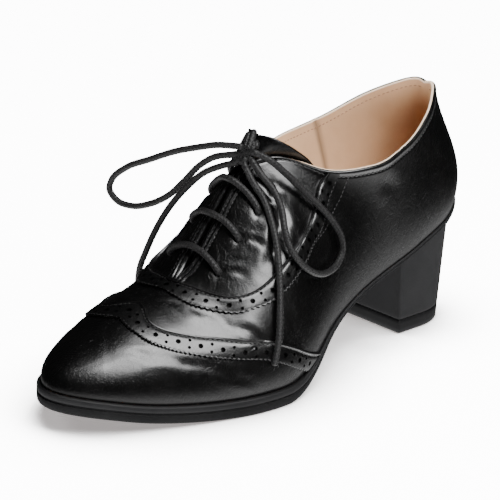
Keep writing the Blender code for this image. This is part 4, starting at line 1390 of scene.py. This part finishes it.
def tongue_edge(outer, inner, within):
    """The rounded edge of a wall, bulging away from the line within it."""
    away = outer - within
    away = away / np.maximum(1e-9, np.linalg.norm(away, axis=1, keepdims=True))
    size = np.linalg.norm((outer - inner) / 2, axis=1, keepdims=True)
    return half_round(outer, inner, away * size * EDGE_ROUND, EDGE_STEPS)


def make_tongue(finishes):
    shares = np.concatenate([
        np.linspace(TONGUE_FROM, TONGUE_LEAVES, TONGUE_STEPS[0], endpoint=False),
        np.linspace(TONGUE_LEAVES, TONGUE_TO, TONGUE_STEPS[1])])
    outer = tongue_rows(shares, -(WALL + TONGUE_SLACK))
    inner = tongue_rows(shares, -(WALL + TONGUE_SLACK + TONGUE_WALL))
    near_tip = ease((shares - TIP_FROM) / (TONGUE_TO - TIP_FROM))[:, None]
    for surface in (outer, inner):
        surface[..., 2] -= TIP_DROP * near_tip * hump(surface[..., 0] - PLACE[0], TIP_HALF)
    build = Build()
    build.sheet(outer, flexed=np.full(outer.shape[:2], TONGUE_FLEX))
    build.sheet(inner, flip=True, slot=1)
    build.sheet(tongue_edge(outer[:, 0], inner[:, 0], outer[:, 1]), flip=True)
    build.sheet(tongue_edge(outer[:, -1], inner[:, -1], outer[:, -2]))
    build.sheet(tongue_edge(outer[-1], inner[-1], outer[-2]))
    build.sheet(tongue_edge(outer[0], inner[0], outer[1]), flip=True)
    build.piece("tongue_leather", finishes, ("tongue",), angle=60.0)


# Sole, insole and heel

SOLE_SIDE = [
    # share of the thickness from the top, and how far it is cut in
    (0.000, 1.50 * MM),
    (0.010, 0.70 * MM),
    (0.045, 0.22 * MM),
    (0.100, 0.04 * MM),
    (0.200, 0.00 * MM),
    (0.320, 0.02 * MM),
    (0.345, 0.12 * MM),
    (0.365, 0.50 * MM),
    (0.400, 0.62 * MM),
    (0.440, 0.62 * MM),
    (0.470, 0.50 * MM),
    (0.490, 0.12 * MM),
    (0.520, 0.00 * MM),
    (0.700, 0.05 * MM),
    (0.880, 0.20 * MM),
    (0.950, 0.45 * MM),
    (0.990, 0.90 * MM),
    (1.000, 1.40 * MM),
]
SOLE_RIM_ROWS = 6            # rows of the list above that are its rim
SOCK_SIDE = [
    # share of the thickness from below, and how far it is cut in
    (1.00, 1.6 * MM),
    (0.97, 0.9 * MM),
    (0.75, 0.3 * MM),
    (0.40, 0.0 * MM),
    (0.00, 0.0 * MM),
]
SOLE_STATIONS = 260
FLAT_COLUMNS = 24


def slab(build, shares, levels, wall_slots, flat_slots):
    """A solid between a top and an underside as long as the sole, with shaped walls."""
    rings = {side: np.stack([edge(side, shares, *level)[0] + PLACE for level in levels], 1)
             for side in SIDES}
    mix = np.linspace(0.0, 1.0, FLAT_COLUMNS)[None, :, None]
    for level, flip, slot in ((0, False, flat_slots[0]), (-1, True, flat_slots[1])):
        flat = rings[LATERAL][:, None, level] * (1 - mix) + rings[MEDIAL][:, None, level] * mix
        build.sheet(flat, flip=flip, slot=slot)
    for side in SIDES:
        for first, last, slot in wall_slots:
            build.sheet(rings[side][:, first:last + 1], flip=side == MEDIAL, slot=slot)


def make_outsole(finishes):
    shares = unturn(np.linspace(0.0, 1.0, SOLE_STATIONS + 1))
    thick = thickness(shares)
    levels = [(welt_trim(shares) + cut_in * (thick / SOLE_FRONT), feather(shares) - part * thick)
              for part, cut_in in SOLE_SIDE]
    walls = [(0, SOLE_RIM_ROWS, 0), (SOLE_RIM_ROWS, len(SOLE_SIDE) - 1, 1)]
    build = Build()
    slab(build, shares, levels, walls, (0, 2))
    build.piece("rubber_sole", finishes, ("outsole",), angle=38.0)


def make_insole(finish):
    shares = unturn(np.linspace(0.0, 1.0, SOLE_STATIONS // 2 + 1))
    cut_in = WELT + WALL + 2 * GAP
    base = feather(shares) + GAP
    levels = [(cut_in + more, base + part * INSOLE) for part, more in SOCK_SIDE]
    build = Build()
    slab(build, shares, levels, [(0, len(SOCK_SIDE) - 1, 0)], (0, 0))
    build.piece("sock", [finish], ("insole",), angle=50.0)


CORNER = 0.9 * MM
CORNER_STEPS = 6             # points round a corner, along a side, round the back and the breast
SIDE_STEPS = 6
BACK_STEPS = 24
BREAST_STEPS = 14
HEEL_LEVELS = 14
HEEL_OVER = 2 * MM           # most that the heel's top follows the sole over its own height


def heel_outline(height, inset):
    """Outline of the heel at a height, with small round corners at the breast."""
    climb = height / HEEL_HEIGHT
    half = HEEL_WIDTH / 2 + SIDE_FLARE * climb - inset
    back = LENGTH / 2 - HEEL_SETBACK + BACK_FLARE * climb - inset
    breast = LENGTH / 2 - HEEL_SETBACK - HEEL_LENGTH - BREAST_FLARE * climb + inset
    depth = HEEL_ROUND * half
    points = []
    for sign in (1, -1):
        corner = [(sign * (half - CORNER + CORNER * math.cos(a)), breast + CORNER
                   - CORNER * math.sin(a)) for a in np.linspace(math.pi / 2, 0.0, CORNER_STEPS)]
        walls = [(sign * half, breast + CORNER + (back - depth - breast - CORNER) * t)
                 for t in np.linspace(0.1, 0.9, SIDE_STEPS)]
        curve = [(sign * half * math.cos(a), back - depth + depth * math.sin(a))
                 for a in np.linspace(0.0, math.pi / 2, BACK_STEPS)]
        half_line = corner + walls + curve
        points.append(half_line if sign == 1 else half_line[::-1][1:])
    line = points[0] + points[1]
    front = [(line[-1][0] + (line[0][0] - line[-1][0]) * t, breast)
             for t in np.linspace(0.0, 1.0, BREAST_STEPS)[1:-1]]
    return np.array(line + front)


def under_sole(y):
    """Height of the sole's underside, less the gap, over places along the shoe."""
    share = np.clip(y / LENGTH + 0.5, 0.0, 1.0)
    return feather(share) - thickness(share) - GAP


def make_heel(block_finish, lift_finish, tread_finish):
    low = TOP_LIFT + GAP
    rows = []
    marks = [(0.0, 0.35 * MM), (0.010, 0.08 * MM)] + [
        (t, 0.0) for t in np.linspace(0.03, 1.0, HEEL_LEVELS)]
    for t, inset in marks:
        spread = low + (HEEL_HEIGHT - low) * t
        goal = under_sole(heel_outline(spread, inset)[:, 1])
        height = low + (np.minimum(goal, HEEL_HEIGHT + HEEL_OVER) - low) * t
        first = heel_outline(low, inset)
        last = heel_outline(HEEL_HEIGHT, inset)
        line = first + (last - first) * ((height - low) / (HEEL_HEIGHT - low))[:, None]
        rows.append(np.column_stack([line, height]))
    points = np.array(rows) + PLACE
    block = Build()
    block.sheet(points, closed=True, flip=True)
    block.close(0, points.shape[1], flip=True)
    cap_rows(block, points[-1])
    block.piece("covered_heel", [block_finish], ("heel_block",), angle=45.0)

    marks = [(0.0, 0.9 * MM), (0.35 * MM, 0.3 * MM), (0.9 * MM, 0.0), (3.0 * MM, 0.0),
             (5.0 * MM, 0.0), (TOP_LIFT - 0.5 * MM, 0.0), (TOP_LIFT, 0.3 * MM)]
    rows = []
    for height, inset in marks:
        line = heel_outline(height, inset)
        rows.append(np.column_stack([line, np.full(len(line), height)]))
    points = np.array(rows) + PLACE
    lift = Build()
    lift.sheet(points, closed=True, flip=True)
    lift.close(0, points.shape[1], slot=1, flip=True)
    lift.close(lift.count - points.shape[1], points.shape[1])
    lift.piece("heel_lift", [lift_finish, tread_finish], ("top_lift",), angle=40.0)


def cap_rows(build, ring):
    """Close the top of the heel with a fan to its middle line."""
    count = len(ring)
    middle = ring.mean(axis=0)
    middle[2] = under_sole(np.array([middle[1] - PLACE[1]]))[0]
    inner = middle[None] + (ring - middle[None]) * 0.5
    inner[:, 2] = under_sole(inner[:, 1] - PLACE[1])
    build.sheet(np.array([ring, inner]), closed=True, flip=True)
    start = build.count - count
    build.add(middle[None], [])
    centre = build.count - 1
    build.faces += [(start + k, start + (k + 1) % count, centre) for k in range(count)]
    build.slots += [0] * count


# Laces. The routes are the part's, in millimetres in the last's frame, from the knot outwards.

KNOT = (3.0, -11.0, 103.4)
LATERAL_LOOP = [
    (8.5, -10.6, 104.4), (13.0, -7.0, 102.0), (17.6, -1.0, 95.6), (22.6, 6.0, 87.0),
    (27.0, 12.0, 79.6), (30.0, 17.4, 72.3), (32.0, 21.0, 65.0), (33.0, 21.4, 58.4),
    (34.8, 17.0, 54.0), (37.0, 8.2, 52.2), (38.6, -0.8, 54.6), (37.6, -8.4, 60.4),
    (34.4, -12.4, 67.4), (30.6, -12.6, 75.0), (25.0, -9.8, 83.0), (19.2, -9.6, 90.4),
    (13.4, -11.6, 96.2), (8.4, -12.0, 100.6),
]
MEDIAL_LOOP = [
    (-1.4, -11.7, 105.0), (-10.6, -15.4, 104.0), (-19.9, -18.3, 101.0), (-31.4, -22.1, 96.6),
    (-42.6, -26.0, 90.8), (-54.0, -29.9, 84.6), (-60.8, -32.2, 77.4), (-61.9, -32.5, 73.0),
    (-58.2, -31.2, 68.2), (-50.6, -28.6, 67.0), (-42.6, -26.0, 69.6), (-33.4, -22.9, 75.6),
    (-25.9, -20.6, 83.9), (-17.8, -18.6, 93.4), (-9.6, -17.0, 99.2), (-2.6, -14.6, 101.4),
]
LATERAL_END = [
    (5.4, -13.8, 98.6), (11.6, -14.6, 92.8), (17.0, -13.4, 86.6), (24.0, -14.6, 78.0),
    (31.2, -17.8, 68.4), (37.8, -22.0, 55.4), (43.0, -26.4, 42.6), (46.6, -30.4, 31.4),
    (48.4, -34.0, 23.4),
]
MEDIAL_END = [
    (0.6, -14.4, 98.6), (-7.6, -16.6, 95.0), (-15.4, -18.4, 90.4), (-23.4, -21.8, 81.6),
    (-29.8, -25.2, 71.8), (-34.6, -28.6, 60.8), (-38.4, -31.0, 49.6), (-41.4, -31.6, 41.6),
    (-43.6, -30.6, 33.4), (-44.8, -28.6, 26.6),
]
LACE_ROW = 0.9 * MM          # from ring to ring of a lace, and in the knot
KNOT_ROW = 0.6 * MM
KNOT_STRAND = 1.02 * LACE    # the strands in the knot swell a little
BAR_LEAST = 0.4 * MM         # least distance between the points of a bar's route
KNOT_LEAN = (0.0, 0.42, 0.91)
KNOT_HEART = 0.45            # how far in the strands of the knot begin to bend to its centre
# Turns of lace round the knot, in millimetres about its centre, its axis standing up
KNOT_TURNS = [
    [(0.9, 2.2, -2.8), (1.0, 0.6, -4.6), (0.9, -1.6, -4.0), (0.5, -3.0, -1.6),
     (-0.2, -3.2, 1.4), (-0.8, -2.2, 4.0), (-1.0, 0.0, 5.0), (-0.9, 2.0, 4.0), (-0.6, 2.6, 1.6)],
    [(-1.6, 2.2, -2.2), (-1.8, 0.6, -3.8), (-2.0, -1.6, -3.0), (-2.4, -2.6, -0.6),
     (-3.0, -2.2, 2.4), (-3.6, -1.0, 4.8), (-3.6, 0.8, 5.2), (-2.8, 2.0, 3.6)],
    [(-0.4, -2.0, -1.0), (-2.2, -3.4, 2.6), (-3.7, -3.8, 6.4), (-3.5, -2.8, 9.0), (-2.0, -1.2, 9.2),
     (-0.6, 0.2, 6.4), (0.4, 1.2, 2.0)],
    [(0.6, -2.6, -0.6), (-1.4, -4.4, 2.4), (-3.0, -5.2, 5.4), (-2.8, -4.4, 7.6), (-1.4, -2.8, 7.4),
     (0.0, -1.4, 4.6), (0.6, -0.4, 1.6)],
    [(-4.4, -0.9, -2.0), (-2.4, -1.2, -0.6), (0.0, -1.2, 0.4), (2.4, -1.0, 1.4), (4.6, -0.4, 1.6)],
]
BAR_LIFTS = [(-0.012, -3.0), (-0.004, -1.4), (0.03, 0.2), (0.16, 1.35), (0.38, 1.9), (0.7, 2.3),
             (1.0, 2.5)]


def smooth_route(points, step):
    """Points at even steps along a smooth curve through a few."""
    points = np.asarray(points, float)
    places = along(points)
    at = np.linspace(0.0, places[-1], max(4, round(places[-1] / step)) + 1)
    fine = np.stack([smooth(places, points[:, k], at) for k in range(3)], axis=1)
    return even(fine, step)


def make_bars(finish):
    """The straight bars, each up out of one eyelet, over the throat and down the other."""
    for number, (share, across, crest) in enumerate(EYELETS[:3], start=1):
        build = Build()
        halves = []
        for side in SIDES:
            mixes = np.array([mix for mix, _ in BAR_LIFTS])
            lifts = np.array([lift for _, lift in BAR_LIFTS]) * MM
            here = share + (crest - share) * mixes
            halves.append(skin(side, here, across * (1 - mixes), lifts))
        route = np.concatenate([halves[0], halves[1][::-1]])
        keep = np.linalg.norm(np.diff(route, axis=0), axis=1) > BAR_LEAST
        route = route[np.concatenate([[True], keep])]
        tube(build, smooth_route(route, LACE_ROW), LACE / 2)
        build.piece(f"bar_{number}", [finish], (f"lace_bar_{number}",), weld=0.0)


def make_top_laces(finish):
    """The two runs from the top eyelets up to the knot."""
    share, across, _ = EYELETS[3]
    knot = np.array(KNOT) * MM + PLACE
    build = Build()
    for side in SIDES:
        hole = skin(side, share, across, -3.0 * MM)
        above = skin(side, share - 0.002, across - 0.01, 0.8 * MM)
        over = skin(side, share + 0.004, across * 0.62, 2.0 * MM)
        towards = knot + np.array([side * 3.4 * MM, 0.6 * MM, -2.6 * MM])
        inside = knot + np.array([side * 1.2 * MM, 0.4 * MM, -1.0 * MM])
        route = smooth_route([hole, above, over, towards, inside], LACE_ROW)
        tube(build, route, LACE / 2)
    build.piece("top_laces", [finish], weld=0.0)


def make_knot(finish):
    """Turns of lace round the crossed strands that run out into the loops and ends."""
    lean = np.array(Vector(KNOT_LEAN).to_track_quat("Z", "X").to_matrix())
    centre = np.array(KNOT) * MM + PLACE
    build = Build()
    for points, way in ((LATERAL_LOOP, 1), (LATERAL_LOOP, -1), (MEDIAL_LOOP, 1),
                        (MEDIAL_LOOP, -1), (LATERAL_END, 1), (MEDIAL_END, 1)):
        line = smooth_route(np.array(points) * MM + PLACE, LACE_ROW)[::way]
        inside = centre + (line[0] - centre) * KNOT_HEART
        tube(build, smooth_route([line[2], line[0], inside, centre], KNOT_ROW), KNOT_STRAND / 2)
    for turn_points in KNOT_TURNS:
        line = centre + np.array(turn_points) * MM @ lean.T
        tube(build, smooth_route(line, KNOT_ROW), LACE / 2)
    return build.piece("bow_knot", [finish], ("lace_knot",), weld=0.0)


def make_free_laces(finish, knot):
    """The bow's loops and ends, each a lace that leaves the knot."""
    laces = [
        ("loop_lateral", LATERAL_LOOP, "object", "lace_loop_lateral", [knot]),
        ("loop_medial", MEDIAL_LOOP, "object", "lace_loop_medial", []),
        ("end_lateral", LATERAL_END, "bare", "lace_end_lateral", []),
        ("end_medial", MEDIAL_END, "bare", "lace_end_medial", []),
    ]
    for name, points, far_end, node, along_with in laces:
        route = smooth_route(np.array(points) * MM + PLACE, LACE_ROW)
        build = Build()
        tube(build, route, LACE / 2)
        made = build.piece(name, [finish], (node,), weld=0.0)


# Floor and light

FLOOR_SIZE = 6.0
LIGHTS = [
    # name, place, aim, width, height, power, seen in reflections
    ("wide_box", (0.76, 0.05, 1.36), (0.0, -0.03, 0.04), 0.80, 1.30, 64.0, True),
    ("above", (0.0, -0.02, 1.45), (0.0, 0.0, 0.05), 0.50, 0.50, 5.0, True),
    ("behind", (-0.75, 0.85, 1.35), (0.0, 0.02, 0.05), 0.6, 0.6, 10.0, False),
    ("left", (-1.10, -0.80, 0.95), (0.0, -0.02, 0.04), 0.5, 0.5, 7.0, False),
]
# The dark studio round the table, and the light from below that shows low on the shoe's sides
STUDIO_DIM = rgb(0.006, 0.006, 0.006)
STUDIO_LOW = rgb(3.7, 3.7, 3.7)
LOW_FROM = (0.30, 0.92)      # how steeply down the light begins, and where it is full


def make_floor(finish):
    """A wide table that the shoe's gloss doesn't mirror."""
    mesh = bpy.data.meshes.new("floor")
    half = FLOOR_SIZE / 2
    mesh.from_pydata([(-half, -half, 0.0), (half, -half, 0.0), (half, half, 0.0),
                      (-half, half, 0.0)], [], [(0, 1, 2, 3)])
    mesh.materials.append(finish)
    floor = bpy.data.objects.new("floor", mesh)
    bpy.context.scene.collection.objects.link(floor)
    floor.visible_glossy = False


def make_lights():
    for name, place, aim, width, height, power, seen in LIGHTS:
        data = bpy.data.lights.new(name, "AREA")
        data.shape = "RECTANGLE"
        data.size = width
        data.size_y = height
        data.energy = power
        light = bpy.data.objects.new(name, data)
        light.location = place
        light.visible_glossy = seen
        towards = Vector(aim) - Vector(place)
        light.rotation_euler = towards.to_track_quat("-Z", "Y").to_euler()
        bpy.context.scene.collection.objects.link(light)
    world = bpy.data.worlds.new("studio")
    world.use_nodes = True
    studio = Nodes(world.node_tree, "Generated")
    parts = studio.node("SeparateXYZ", None, {0: studio.coords})
    below = 0.0 - Number(studio, parts.outputs["Z"])
    studio.feed(world.node_tree.nodes["Background"].inputs["Color"],
                studio.blend(STUDIO_DIM, STUDIO_LOW, below.between(*LOW_FROM)))
    bpy.context.scene.world = world


def main():
    make_camera()
    lace_finish = waxed_lace("waxed_lace")
    knot = make_knot(lace_finish)
    make_free_laces(lace_finish, knot)
    make_bars(lace_finish)
    make_top_laces(lace_finish)

    leather = polished_leather("polished_leather")
    band_leather = polished_leather("band_leather", 0.32, 0.8)
    tongue_leather = polished_leather("tongue_leather", 0.30, 0.7)
    cream = tan_leather("cream_edge", rgb(0.72, 0.56, 0.42), rgb(0.64, 0.48, 0.35))
    tan = tan_leather("tan_lining", rgb(0.55, 0.338, 0.195), rgb(0.49, 0.295, 0.165))
    make_upper([leather, cream, tan])
    make_band("wing_brogue", wing_edges, band_leather, "wing_band")
    make_band("facing_brogue", facing_edges, band_leather, "facing_band")
    make_stitches(thread("black_thread", rgb(0.012, 0.012, 0.012), 0.35),
                  thread("tan_thread", rgb(0.36, 0.20, 0.11), 0.6))
    make_tongue([tongue_leather, tan])

    welt = moulded("sole_rim", rgb(0.0025, 0.0025, 0.0027), rgb(0.004, 0.004, 0.0042), 0.50)
    body = moulded("sole_body", rgb(0.0010, 0.0010, 0.0011), rgb(0.002, 0.002, 0.0021), 0.65)
    tread = tread_rubber("tread")
    make_outsole([welt, body, tread])
    make_insole(tan)
    heel_finish = moulded("heel_cover", rgb(0.0025, 0.0025, 0.0027), rgb(0.0045, 0.0045, 0.0047), 0.60)
    make_heel(heel_finish, moulded("lift", rgb(0.0010, 0.0010, 0.0011), rgb(0.002, 0.002, 0.0021),
                                   0.5), tread)
    make_floor(pale_floor("pale_floor"))
    make_lights()


main()
